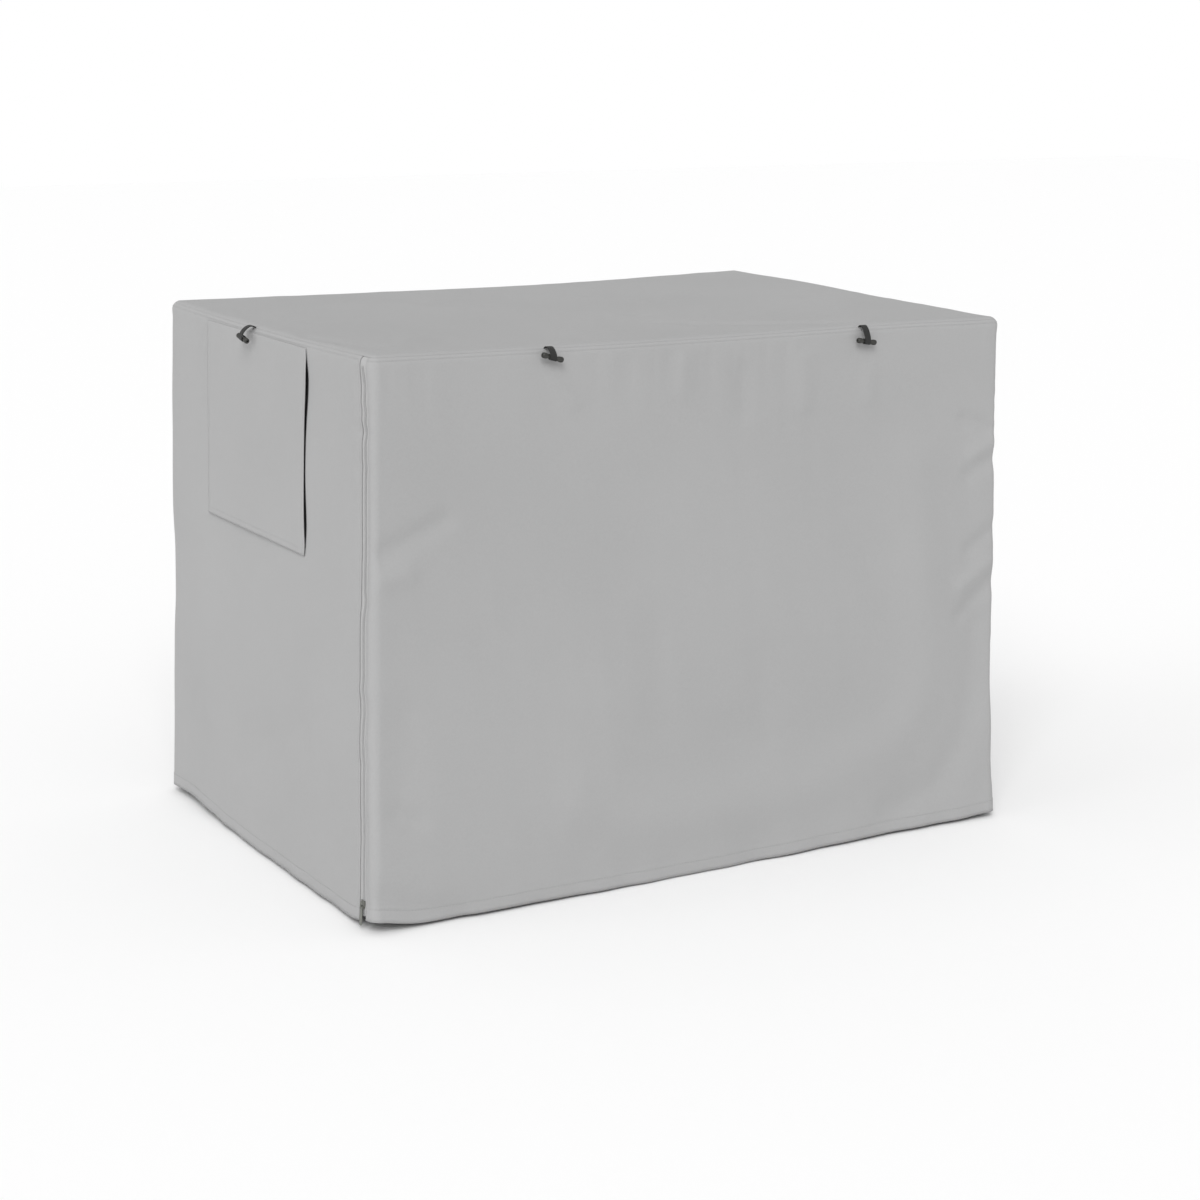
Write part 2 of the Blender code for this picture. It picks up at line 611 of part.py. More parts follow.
def prism(points, axis, thickness):
    # a closed prism: outline points in the plane across axis, carried from -thickness/2 to +thickness/2
    body = bmesh.new()
    shift = np.array(axis, float) * thickness / 2
    low = [body.verts.new(np.array(point) - shift) for point in points]
    high = [body.verts.new(np.array(point) + shift) for point in points]
    body.faces.new(low[::-1])
    body.faces.new(high)
    count = len(points)
    for i in range(count):
        j = (i + 1) % count
        body.faces.new((low[i], low[j], high[j], high[i]))
    bmesh.ops.recalc_face_normals(body, faces=body.faces)
    return body


def local_frame(origin, side_name):
    # outwards, sideways and up at a point of a wall
    heading = radians(SIDE_HEADING[side_name])
    out = np.array([cos(heading), sin(heading), 0.0])
    up = np.array([0.0, 0.0, 1.0])
    return np.array(origin), out, np.cross(up, out), up


def place(frame, out=0.0, across=0.0, up=0.0):
    origin, out_axis, across_axis, up_axis = frame
    return origin + out_axis * out + across_axis * across + up_axis * up


def make_slider(name, side):
    # a channel over the coil, narrower at its foot, with a bridge for the pull
    frame = zip_frame(side, SLIDER_DROP)
    tape_face = -CLOTH - GAP
    under = tape_face + COIL_HEIGHT + GAP
    over = under + SLIDER_WALL
    rim = tape_face + 2 * GAP
    half = SLIDER_WIDTH / 2
    slot = half - SLIDER_WALL
    section = [(rim, -half), (rim, -slot), (under, -slot), (under, slot), (rim, slot), (rim, half),
               (over, half), (over, -half)]
    end = SLIDER_LENGTH / 2
    body = bmesh.new()
    rings = []
    for level, squeeze in ((end, SLIDER_TAPER), (SLIDER_WAIST, 1.0), (-end, SLIDER_TAPER)):
        rings.append([body.verts.new(place(frame, out, across * squeeze, level)) for out, across in section])
    for upper, lower in zip(rings[:-1], rings[1:]):
        for i in range(len(section)):
            j = (i + 1) % len(section)
            body.faces.new((upper[i], upper[j], lower[j], lower[i]))
    body.faces.new(rings[0])
    body.faces.new(rings[-1][::-1])
    made = finish_body(name, bpy.data.meshes.new(name), body, "zip_metal")
    length, bar, clear = BRIDGE_LENGTH / 2, BRIDGE_BAR, BRIDGE_CLEAR
    sunk = -SLIDER_WALL / 2
    outline = [(sunk, length), (clear, length), (clear + bar, length - bar), (clear + bar, bar - length),
               (clear, -length), (sunk, -length), (sunk, bar - length), (clear, bar - length),
               (clear, length - bar), (sunk, length - bar)]
    points = [place(frame, over + out, 0.0, up) for out, up in outline]
    tool = bpy.data.objects.new(name + "_bridge", bpy.data.meshes.new(name + "_bridge"))
    bridge = prism(points, frame[2], BRIDGE_WIDTH)
    bridge.to_mesh(tool.data)
    bridge.free()
    bpy.context.scene.collection.objects.link(tool)
    tool.hide_render = True
    tool.display_type = "WIRE"
    union = made.modifiers.new("bridge", "BOOLEAN")
    union.operation = "UNION"
    union.solver = "EXACT"
    union.object = tool
    return frame, over


def make_pull(name, frame, over, lean):
    # a flat tab with a square eye, hung on the foot of the bridge and rounded at its lower end
    half = PULL_WIDTH / 2
    eye = PULL_EYE / 2
    top = -BRIDGE_LENGTH / 2 + BRIDGE_BAR + GAP + PULL_RIM
    eye_top = top - PULL_RIM
    foot = top - PULL_LENGTH
    lift = over + (BRIDGE_CLEAR - PULL_THICK) / 2
    eye_foot = eye_top - PULL_EYE
    eye_side = eye_top - PULL_EYE * PULL_EYE_SHOULDER
    eye_low = eye * PULL_EYE_FOOT
    shoulder = eye + PULL_RIM * PULL_EYE_SHOULDER
    outer = [(shoulder, top), (-shoulder, top)]
    hole = [(eye, eye_top), (-eye, eye_top)]
    outer += [(-eye - PULL_RIM, eye_top), (-half, eye_foot), (-half, foot + half)]
    hole += [(-eye, eye_side), (-eye, eye_foot), (-eye_low, eye_foot)]
    for step in range(1, PULL_FOOT_STEPS):
        angle = pi + pi * step / PULL_FOOT_STEPS
        outer.append((half * cos(angle), foot + half + half * sin(angle)))
        hole.append((eye_low * cos(angle), eye_foot))
    outer += [(half, foot + half), (half, eye_foot), (eye + PULL_RIM, eye_top)]
    hole += [(eye_low, eye_foot), (eye, eye_foot), (eye, eye_side)]
    body = bmesh.new()
    pivot = top - PULL_RIM / 2

    def spot(across, up, depth):
        # the tab leans out from the wall about its upper rim
        reach = (up - pivot) * sin(lean)
        return place(frame, lift + depth - reach, across, pivot + (up - pivot) * cos(lean))

    layers = []
    for depth in (0.0, PULL_THICK):
        rim = [body.verts.new(spot(across, up, depth)) for across, up in outer]
        inside = [body.verts.new(spot(across, up, depth)) for across, up in hole]
        layers.append((rim, inside))
    (low_rim, low_hole), (high_rim, high_hole) = layers
    count = len(outer)
    for i in range(count):
        j = (i + 1) % count
        body.faces.new((low_rim[i], low_rim[j], low_hole[j], low_hole[i]))
        body.faces.new((high_rim[i], high_hole[i], high_hole[j], high_rim[j]))
        body.faces.new((low_rim[i], high_rim[i], high_rim[j], low_rim[j]))
        body.faces.new((low_hole[i], low_hole[j], high_hole[j], high_hole[i]))
    return finish_body(name, bpy.data.meshes.new(name), body, "zip_metal")


def toggle_frame(toggle):
    # the centre of the crest's turn at the toggle's place
    if toggle.side == "left":
        centre = (-A_TOP, toggle.along)
    else:
        centre = (toggle.along, -B_TOP)
    level = float(crest_height(np.array(centre[0]), np.array(centre[1]))) - EDGE_RADIUS
    return local_frame((*centre, level), toggle.side)


def ribbon_path(toggle):
    # out of the seam along the cloth's normal, over and down in front of the bar, then round its neck
    centre = np.array([EDGE_RADIUS + toggle.standoff, EDGE_RADIUS - toggle.drop])
    wrap = BAR_NECK + BAR_GAP + RIBBON_THICK / 2
    leave = np.array([cos(SEAM_LATITUDE), sin(SEAM_LATITUDE)])
    root = leave * (EDGE_RADIUS + RIBBON_ROOT_LIFT)
    meet = centre + np.array([wrap, 0.0])
    pull = ARCH_PULL * float(np.linalg.norm(meet - root))
    t = np.linspace(0.0, 1.0, ARCH_STEPS + 1)[:-1, None]
    handles = (root, root + leave * pull, meet + np.array([0.0, pull]), meet)
    weights = ((1 - t) ** 3, 3 * t * (1 - t) ** 2, 3 * t * t * (1 - t), t ** 3)
    path = sum(weight * handle for weight, handle in zip(weights, handles))
    angles = np.linspace(0.0, -WRAP_TURN, WRAP_STEPS + 1)[:, None]
    ring = centre + wrap * np.concatenate([np.cos(angles), np.sin(angles)], axis=1)
    return np.concatenate([path, ring])


def make_toggle_ribbon(toggle, frame):
    path = ribbon_path(toggle)
    ahead = np.gradient(path, axis=0)
    ahead /= np.linalg.norm(ahead, axis=1)[:, None]
    side = np.stack([-ahead[:, 1], ahead[:, 0]], axis=1)
    # the twist towards the bar's tilt grows from the root to where the ribbon meets the bar
    twist = smooth(np.arange(len(path)) / ARCH_STEPS) * tan(toggle.tilt)
    faces = {}
    for key, offset in (("outer", RIBBON_THICK / 2), ("inner", -RIBBON_THICK / 2)):
        line = path + side * offset
        faces[key] = np.array([[place(frame, out, across, up + across * lean)
                                for across in (RIBBON_WIDTH / 2, -RIBBON_WIDTH / 2)]
                               for (out, up), lean in zip(line, twist)])
    return build_solid("toggle_tab_" + toggle.name, faces["outer"], faces["inner"], "ribbon")


def make_toggle_bar(toggle, frame):
    # the bar is turned about its own length
    out, up = EDGE_RADIUS + toggle.standoff, EDGE_RADIUS - toggle.drop
    profile = [(-along, radius) for along, radius in BAR_PROFILE[:0:-1]] + BAR_PROFILE[1:]
    body = bmesh.new()
    rings = []
    for along, radius in profile:
        ring = []
        for step in range(BAR_SIDES):
            angle = 2 * pi * step / BAR_SIDES
            lift = radius * sin(angle)
            across = along * cos(toggle.tilt) - lift * sin(toggle.tilt)
            level = along * sin(toggle.tilt) + lift * cos(toggle.tilt)
            ring.append(body.verts.new(place(frame, out + radius * cos(angle), across, up + level)))
        rings.append(ring)
    for first, second in zip(rings[:-1], rings[1:]):
        for i in range(BAR_SIDES):
            j = (i + 1) % BAR_SIDES
            body.faces.new((first[i], first[j], second[j], second[i]))
    body.faces.new(rings[0][::-1])
    body.faces.new(rings[-1])
    name = "toggle_bar_" + toggle.name
    return finish_body(name, bpy.data.meshes.new(name), body, "bar_plastic")


def main():
    clear_scene()
    make_top_panel()
    make_front_panel()
    make_back_panel()
    make_left_panel()
    make_right_panel()
    make_window_net()
    make_window_flap()
    for name, side, lean in (("left", -1, PULL_LEAN_LEFT), ("right", 1, PULL_LEAN_RIGHT)):
        make_zip("zip_" + name, side)
        frame, over = make_slider("zip_" + name + "_slider", side)
        make_pull("zip_" + name + "_pull", frame, over, lean)
    for toggle in TOGGLES:
        frame = toggle_frame(toggle)
        make_toggle_ribbon(toggle, frame)
        make_toggle_bar(toggle, frame)


main()
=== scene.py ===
from math import cos, pi, radians, sin, tan

import bmesh
import bpy
import numpy as np
from mathutils import Matrix


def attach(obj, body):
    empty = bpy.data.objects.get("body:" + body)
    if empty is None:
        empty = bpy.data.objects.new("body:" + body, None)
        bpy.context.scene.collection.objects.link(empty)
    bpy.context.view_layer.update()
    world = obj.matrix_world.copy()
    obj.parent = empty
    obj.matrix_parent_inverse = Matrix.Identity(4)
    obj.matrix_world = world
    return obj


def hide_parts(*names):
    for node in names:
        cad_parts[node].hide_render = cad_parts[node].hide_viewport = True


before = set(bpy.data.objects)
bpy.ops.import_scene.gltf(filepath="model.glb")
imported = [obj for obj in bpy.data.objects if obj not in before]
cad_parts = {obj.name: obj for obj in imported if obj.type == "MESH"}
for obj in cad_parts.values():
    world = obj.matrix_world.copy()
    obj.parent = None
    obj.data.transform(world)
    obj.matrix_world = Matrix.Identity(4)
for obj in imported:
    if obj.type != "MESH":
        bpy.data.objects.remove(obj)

scene = bpy.context.scene
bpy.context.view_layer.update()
print("frame loaded:", len(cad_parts), "nodes")

# The cover as it hangs, in metres: the origin is the centre of the top's underside,
# the zipped front faces -Y and the end with the window faces -X
cover = {
    "topLength": 1.035, "topWidth": 0.715, "hemLength": 1.065, "hemWidth": 0.748, "height": 0.775,
    "turn": 0.014,    # radius of the crest and of the upright corners
    "seamLatitude": 50.0,    # degrees, where the top is sewn to the sides
    "crestLevel": 0.0045, "topSag": 0.003, "cornerRise": 0.004, "foldFade": 0.03,
    "legStep": 0.001, "legHem": 0.0085, "zipChannel": 0.019,
    "thick": 0.0012,    # cloth with its turnings
}
turn, height, seam = cover["turn"], cover["height"], radians(cover["seamLatitude"])
step, channel, legHem = cover["legStep"], cover["zipChannel"], cover["legHem"]
hemLevel = cover["crestLevel"] + cover["cornerRise"] / 2 - height
halfTop = np.array([cover["topLength"], cover["topWidth"]]) / 2 - turn
halfHem = np.array([cover["hemLength"], cover["hemWidth"]]) / 2 - turn

# Places of the crest and of the hem that are drawn up: x, y, rise, breadth
crestLifts = [
    (0.5035, 0.13, 0.0045, 0.17),
    (0.5035, -0.3435, -0.0045, 0.11),
    (0.1, 0.3435, -0.0016, 0.22),
]
hemLifts = [
    (-0.5325, -0.374, 0.0135, 0.048),
    (-0.5325, 0.374, 0.003, 0.06),
    (-0.5325, 0.27, 0.008, 0.1),
    (0.5325, -0.374, 0.004, 0.05),
    (0.5325, 0.374, 0.005, 0.06),
    (0.0, -0.374, -0.0035, 0.22),
    (0.15, 0.374, -0.003, 0.2),
]

# Folds of the sides: side, height, breadth, line as (along, drop) points
wallFolds = [
    # the long ridge round the right of the front
    ("front", 0.006, 0.045, [(0.365, 0.22), (0.385, 0.43), (0.38, 0.56), (0.326, 0.634), (0.175, 0.675),
                              (-0.1, 0.683), (-0.21, 0.65)]),
    ("front", -0.0045, 0.03, [(0.485, 0.47), (0.48, 0.6), (0.43, 0.7), (0.33, 0.745)]),
    ("front", 0.0022, 0.014, [(-0.254, 0.031), (-0.22, 0.08)]),    # gathers under the crest
    ("front", 0.002, 0.016, [(-0.048, 0.02), (-0.044, 0.07)]),
    ("front", -0.0024, 0.015, [(0.058, 0.055), (0.06, 0.11)]),
    ("front", 0.0022, 0.015, [(0.161, 0.04), (0.163, 0.105)]),
    ("front", 0.0018, 0.014, [(0.275, 0.07), (0.276, 0.105)]),
    ("front", -0.0038, 0.016, [(-0.505, 0.264), (-0.416, 0.223)]),    # pinch and hollows down the left
    ("front", 0.003, 0.016, [(-0.504, 0.3), (-0.47, 0.29)]),
    ("front", -0.003, 0.03, [(-0.48, 0.49), (-0.482, 0.575)]),
    ("front", -0.004, 0.02, [(-0.489, 0.621), (-0.47, 0.63)]),
    ("front", -0.005, 0.022, [(-0.515, 0.745), (-0.4, 0.772)]),
    ("front", -0.0026, 0.013, [(0.455, 0.15), (0.5, 0.168)]),    # wrinkles down the right edge
    ("front", 0.0024, 0.012, [(0.47, 0.205), (0.505, 0.19)]),
    ("front", -0.003, 0.014, [(0.465, 0.235), (0.51, 0.215)]),
    ("front", -0.0032, 0.013, [(0.47, 0.35), (0.512, 0.325)]),
    ("front", 0.0036, 0.013, [(0.455, 0.405), (0.505, 0.375)]),
    ("front", -0.0036, 0.014, [(0.455, 0.45), (0.512, 0.408)]),
    ("front", -0.0022, 0.032, [(-0.083, 0.39), (-0.084, 0.54)]),    # shallow dents in the middle
    ("front", -0.002, 0.03, [(0.092, 0.47), (0.093, 0.59), (0.036, 0.57)]),
    ("front", 0.0016, 0.04, [(0.53, 0.76), (0.535, 0.775)]),
    ("front", -0.0026, 0.06, [(0.53, 0.42), (0.53, 0.56)]),
    ("left", -0.003, 0.016, [(-0.335, 0.03), (-0.338, 0.33)]),    # drawn in along the corner zips
    ("left", -0.0016, 0.01, [(-0.338, 0.33), (-0.341, 0.76)]),
    ("right", -0.003, 0.016, [(-0.335, 0.03), (-0.338, 0.33)]),
    ("right", -0.0016, 0.01, [(-0.338, 0.33), (-0.341, 0.7)]),
    ("left", -0.0036, 0.05, [(0.34, 0.39), (0.345, 0.46)]),
    ("left", -0.0028, 0.035, [(0.274, 0.61), (0.285, 0.71)]),
    ("left", -0.0024, 0.03, [(-0.132, 0.55), (-0.014, 0.605)]),
    ("left", 0.0028, 0.04, [(-0.2, 0.48), (-0.08, 0.66), (0.12, 0.7)]),
    ("right", 0.0036, 0.035, [(-0.34, 0.755), (-0.345, 0.775)]),
    ("right", 0.003, 0.045, [(-0.18, 0.42), (-0.02, 0.64), (0.18, 0.62)]),
    ("right", -0.003, 0.04, [(0.2, 0.25), (0.24, 0.4)]),
    ("back", 0.0045, 0.05, [(-0.33, 0.64), (-0.12, 0.6), (0.1, 0.66), (0.3, 0.56)]),
    ("back", -0.0035, 0.045, [(0.4, 0.3), (0.34, 0.45)]),
    ("back", -0.003, 0.04, [(-0.4, 0.2), (-0.36, 0.36)]),
]

# Folds of the top, with lines as (x, y) points
topFolds = [
    (0.0026, 0.012, [(0.02, -0.165), (0.207, -0.27), (0.29, -0.312)]),
    (-0.0016, 0.014, [(0.06, -0.225), (0.23, -0.305)]),
    (-0.0022, 0.012, [(0.045, -0.084), (0.056, -0.08)]),
    (-0.0025, 0.016, [(-0.47, -0.26), (-0.5, -0.11)]),
    (0.002, 0.022, [(-0.45, -0.29), (-0.38, -0.2)]),
    (-0.002, 0.06, [(0.2, 0.1), (0.36, 0.04)]),
    (0.0016, 0.05, [(-0.26, 0.18), (-0.08, 0.06)]),
]

# Finer marks of wear and sewing, heights in metres and lengths as wavelengths or reaches
clothMarks = {
    "sway": (0.0008, 0.33), "crinkle": (0.00022, 0.06), "crestGather": (0.00075, 0.026, 0.04),
    "gatherDrop": 0.026,
    "zipRipple": (0.0006, 0.034, 0.022), "hemWave": (0.0009, 0.085, 0.05), "hemBand": (0.00045, 0.02),
    "seamDip": (0.00025, 0.0014), "seed": 41,
}


# smooth step: 3t^2 - 2t^3 of the clipped value
def softStep(value):
    t = np.clip(value, 0.0, 1.0)
    return t * t * (3.0 - 2.0 * t)


# vectors drawn to length one
def unit(vectors):
    return vectors / np.linalg.norm(vectors, axis=-1, keepdims=True)


# a fold's line as a smooth curve: Catmull-Rom through its points
def smoothLine(points, steps=6):
    points = np.array(points, float)
    if len(points) < 3:
        return points
    padded = np.concatenate([2 * points[:1] - points[1:2], points, 2 * points[-1:] - points[-2:-1]])
    t = np.arange(steps)[None, :, None] / steps
    a, b, c, d = [padded[i:len(padded) - 3 + i][:, None] for i in range(4)]
    square, cube = 2 * a - 5 * b + 4 * c - d, 3 * b - a - 3 * c + d
    curve = 0.5 * (2 * b + (c - a) * t + square * t ** 2 + cube * t ** 3)
    return np.concatenate([curve.reshape(-1, points.shape[1]), points[-1:]])


# the natural cubic spline through the knots, read at the given places
def splineAt(knots, values, places):
    knots, values = np.array(knots, float), np.array(values, float)
    gap = np.diff(knots)
    slope = np.diff(values) / gap
    grid = np.eye(len(knots))
    right = np.zeros(len(knots))
    for i in range(1, len(knots) - 1):
        grid[i, i - 1:i + 2] = gap[i - 1], 2 * (gap[i - 1] + gap[i]), gap[i]
        right[i] = 6 * (slope[i] - slope[i - 1])
    bend = np.linalg.solve(grid, right)
    places = np.clip(places, knots[0], knots[-1])
    i = np.clip(np.searchsorted(knots, places) - 1, 0, len(gap) - 1)
    near, far, h = places - knots[i], knots[i + 1] - places, gap[i]
    return ((bend[i] * far ** 3 + bend[i + 1] * near ** 3) / (6 * h)
            + (values[i] / h - bend[i] * h / 6) * far + (values[i + 1] / h - bend[i + 1] * h / 6) * near)


# seeded sum of sine waves in random directions, of about unit height; stretch draws it out along x, y, z
def softWaves(spots, wavelength, seed, stretch=(1.0, 1.0, 1.0), count=14):
    dice = np.random.default_rng(seed)
    way = unit(dice.normal(size=(count, 3)))
    pace = 2 * pi / (wavelength * dice.uniform(0.65, 1.7, count))
    phase = dice.uniform(0, 2 * pi, count)
    waves = np.sin((spots / np.array(stretch)) @ (way * pace[:, None]).T + phase)
    return waves.sum(axis=-1) / np.sqrt(count / 2)


# share of the way down from the turn to the hem: (drop - turn) / (height - turn), clipped
def wallShare(drop):
    return np.clip((drop - turn) / (height - turn), 0.0, 1.0)


# a point of a side with its depth as the third value, so that distances run over the cloth
def wallSpot(side, line):
    along, drop = line[:, 0], line[:, 1]
    half = halfTop + (halfHem - halfTop) * wallShare(drop)[:, None] + turn
    places = {"front": (along, -half[:, 1]), "back": (along, half[:, 1]), "left": (-half[:, 0], along),
              "right": (half[:, 0], along)}
    return np.stack([*places[side], drop], axis=-1)


# height x exp(-(distance to the fold's line / breadth)^2)
def foldRise(spots, line, rise, breadth):
    nearest = np.full(spots.shape[:-1], np.inf)
    for start, end in zip(line[:-1], line[1:]):
        step = end - start
        share = np.clip(((spots - start) @ step) / (step @ step), 0.0, 1.0)
        nearest = np.minimum(nearest, np.linalg.norm(spots - start - share[..., None] * step, axis=-1))
    return rise * np.exp(-(nearest / breadth) ** 2)


# sum of rise x exp(-(distance / breadth)^2) over a table of lifts
def lifted(lifts, x, y):
    level = 0.0
    for liftX, liftY, rise, breadth in lifts:
        level = level + rise * np.exp(-((x - liftX) ** 2 + (y - liftY) ** 2) / breadth ** 2)
    return level


# crest: highest at the corners, sagging to the middle of the top
def crestHeight(x, y):
    long, wide = np.clip(np.abs(x) / halfTop[0], 0, 1), np.clip(np.abs(y) / halfTop[1], 0, 1)
    rise = cover["cornerRise"] * (long * wide) ** 2 + lifted(crestLifts, x, y)
    return cover["crestLevel"] + rise - cover["topSag"] * (1 - long ** 2) * (1 - wide ** 2)


# the small relief of sewn and hung cloth: sway, crinkles, gathers under the crest, ripples beside the
# zips, waves along the hem and the doubled hem band, each a wave times its own fading reach
def fineRelief(spots, zipReach):
    drop = spots[..., 2]
    marks, seed = clothMarks, clothMarks["seed"]
    fade = softStep((drop - 0.012) / 0.08) * (0.35 + 0.65 * softStep((height - drop) / 0.12))
    rise = marks["sway"][0] * softWaves(spots, marks["sway"][1], seed, (1, 1, 1.5)) * fade
    patches = 0.35 + 0.65 * softStep(0.5 + 0.8 * softWaves(spots, 0.3, seed + 1))
    tall, wave = marks["crinkle"]
    rise += tall * softWaves(spots, wave, seed + 2, (1, 1, 1.8)) * fade * patches
    tall, wave, reach = marks["crestGather"]
    some = softStep(0.45 + 0.7 * softWaves(spots, 0.16, seed + 3, (1, 1, 40)))
    near = np.exp(-np.abs(drop - marks["gatherDrop"]) / reach) * softStep((drop - 0.006) / 0.02)
    rise += tall * some * softWaves(spots, wave, seed + 4, (1, 1, 9)) * near
    tall, wave, reach = marks["zipRipple"]
    some = softStep(0.4 + 0.7 * softWaves(spots, 0.12, seed + 5, (9, 9, 1)))
    near = np.exp(-zipReach / reach) * softStep((drop - 0.02) / 0.05)
    rise += tall * some * softWaves(spots, wave, seed + 6, (2.5, 2.5, 1)) * near
    tall, wave, reach = marks["hemWave"]
    rise += tall * softWaves(spots, wave, seed + 7, (1, 1, 6)) * np.exp(-(height - drop) / reach)
    tall, deep = marks["hemBand"]
    return rise + tall * softStep((drop - (height - deep)) / 0.0012)


# sides: centre of the corner's turn + heading x (turn + rise) x cos(latitude), sinking from crest to hem;
# a column is (long share, across share, leg share, offset, heading in degrees)
def wallSurface(columns, drop, latitude, push=0.0, shiftY=0.0, fine=True):
    long, across, leg, offset, heading = [columns[:, i][None, :] for i in range(5)]
    drop, latitude = np.array(drop, float)[:, None], np.radians(latitude)[:, None]
    share = wallShare(drop)
    heading = np.radians(heading)
    half = [top + (hem - top) * share for top, hem in zip(halfTop, halfHem)]
    centreX = long * half[0] + 0 * shiftY
    centreY = across * half[1] + leg * legHem * share + offset + shiftY
    arcBase = crestHeight(long * halfTop[0], across * halfTop[1] + offset) - turn
    hemX = long * halfHem[0] + turn * np.cos(heading)
    hemY = across * halfHem[1] + leg * legHem + offset + turn * np.sin(heading)
    hem = hemLevel + lifted(hemLifts, hemX, hemY)
    plain = np.stack(np.broadcast_arrays(centreX + turn * np.cos(heading), centreY + turn * np.sin(heading),
                                         drop), axis=-1)
    rise = np.zeros(plain.shape[:-1])
    for side, tall, breadth, line in wallFolds:
        rise += foldRise(plain, wallSpot(side, smoothLine(line)), tall, breadth)
    rise *= softStep((drop - turn) / cover["foldFade"])
    if fine:
        zipLine = -(half[1] - step - channel / 2 - legHem * share)
        zipReach = np.abs(plain[..., 1] - zipLine) + np.abs(np.abs(plain[..., 0]) - half[0] - turn) * 2
        rise += fineRelief(plain, np.maximum(zipReach - 0.01, 0))
        arc = turn * (seam - latitude) + np.maximum(drop - turn, 0)
        dip, breadth = clothMarks["seamDip"]
        rise -= dip * np.exp(-(arc / breadth) ** 2)
    radius = turn + rise + push
    level = arcBase * (1 - share) + hem * share + radius * np.sin(latitude)
    out = radius * np.cos(latitude)
    return np.stack([centreX + out * np.cos(heading), centreY + out * np.sin(heading), level], axis=-1)


# columns as straight runs between key columns, each with its own number of steps and crowding to its ends
def columnRuns(keys, steps, crowds):
    parts = [np.array([keys[0]], float)]
    for start, end, count, crowd in zip(keys[:-1], keys[1:], steps, crowds):
        even = np.linspace(-1, 1, count + 1)[1:]
        share = 0.5 + 0.5 * ((1 - crowd) * even + crowd * np.sin(even * pi / 2))
        first, last = np.array(start, float), np.array(end, float)
        parts.append(first + share[:, None] * (last - first))
    return np.concatenate(parts)


# rows from the seam over the crest to the hem: arc lengths down the turn, then depths
rowPlan = {
    "arcs": [0.0, 0.0012, 0.0024, 0.004, 0.006, 0.008, 0.01], "windowTop": 0.022, "windowFoot": 0.288,
    "crestRow": 4, "hemStitch": 0.018, "hemRows": [0.0212, 0.0195, 0.018, 0.0165, 0.012, 0.006, 0.0],
}


def wallRows(upper, lower):
    latitude = cover["seamLatitude"] - np.degrees(np.array(rowPlan["arcs"]) / turn)
    drops = list(turn * (1 - np.sin(np.radians(latitude))))
    flat = [turn, 0.018] + list(np.linspace(rowPlan["windowTop"], rowPlan["windowFoot"], upper + 1))
    flat += list(np.linspace(rowPlan["windowFoot"], height - rowPlan["hemRows"][0], lower + 1))[1:]
    flat += [height - above for above in rowPlan["hemRows"][1:]]
    return np.array(drops + flat), np.concatenate([latitude, np.zeros(len(flat))])


# lengths along the rows and down the columns of a grid, in metres, for the weave and the sewing
def clothMap(points):
    across = np.linalg.norm(np.diff(points, axis=1), axis=-1)
    down = np.linalg.norm(np.diff(points, axis=0), axis=-1)
    u = np.concatenate([[0.0], np.cumsum(np.median(across, axis=0))])
    v = np.concatenate([[0.0], np.cumsum(np.median(down, axis=1))])
    return u, v


def newObject(name, data):
    made = bpy.data.objects.new(name, data)
    scene.collection.objects.link(made)
    return made


# a smooth piece of one material
def newPiece(name, mesh, material):
    mesh.materials.clear()
    mesh.materials.append(material)
    mesh.shade_smooth()
    return newObject(name, mesh)


# a mesh from a grid of points: one quad to each cell that is kept, with its map and stitch distances
def gridPiece(name, points, material, thick=None, kept=None, sewn=None):
    rows, columns = points.shape[:2]
    u, v = clothMap(points)
    index = np.arange(rows * columns).reshape(rows, columns)
    quads = np.stack([index[:-1, :-1], index[1:, :-1], index[1:, 1:], index[:-1, 1:]], axis=-1)
    quads = quads[kept] if kept is not None else quads.reshape(-1, 4)
    used, renamed = np.unique(quads, return_inverse=True)
    quads = renamed.reshape(-1, 4)
    mesh = bpy.data.meshes.new(name)
    mesh.from_pydata(points.reshape(-1, 3)[used].tolist(), [], quads.tolist())
    places = np.stack(np.meshgrid(u, v), axis=-1).reshape(-1, 2)[used]
    layer = mesh.uv_layers.new(name="clothMap")
    layer.data.foreach_set("uv", places[quads.ravel()].astype(np.float32).ravel())
    if sewn is not None:
        gap = mesh.attributes.new("stitchGap", "FLOAT", "POINT")
        gap.data.foreach_set("value", sewn(u, v).reshape(-1)[used].astype(np.float32))
    piece = newPiece(name, mesh, material)
    if thick:
        solid = piece.modifiers.new("thickness", "SOLIDIFY")
        solid.thickness, solid.offset, solid.use_even_offset = thick, -1.0, False
    return piece, {"points": points, "u": u, "v": v}


# a point of a grid and its outward normal at lengths (u, v): bilinear between the four nearest points
def onCloth(cloth, u, v):
    points = cloth["points"]
    i = np.clip(np.searchsorted(cloth["v"], v) - 1, 0, len(cloth["v"]) - 2)
    j = np.clip(np.searchsorted(cloth["u"], u) - 1, 0, len(cloth["u"]) - 2)
    s = ((v - cloth["v"][i]) / (cloth["v"][i + 1] - cloth["v"][i]))[:, None]
    t = ((u - cloth["u"][j]) / (cloth["u"][j + 1] - cloth["u"][j]))[:, None]
    a, b, c, d = points[i, j], points[i, j + 1], points[i + 1, j], points[i + 1, j + 1]
    place = (a * (1 - t) + b * t) * (1 - s) + (c * (1 - t) + d * t) * s
    down, along = (c - a) * (1 - t) + (d - b) * t, (b - a) * (1 - s) + (d - c) * s
    return place, unit(np.cross(down, along))


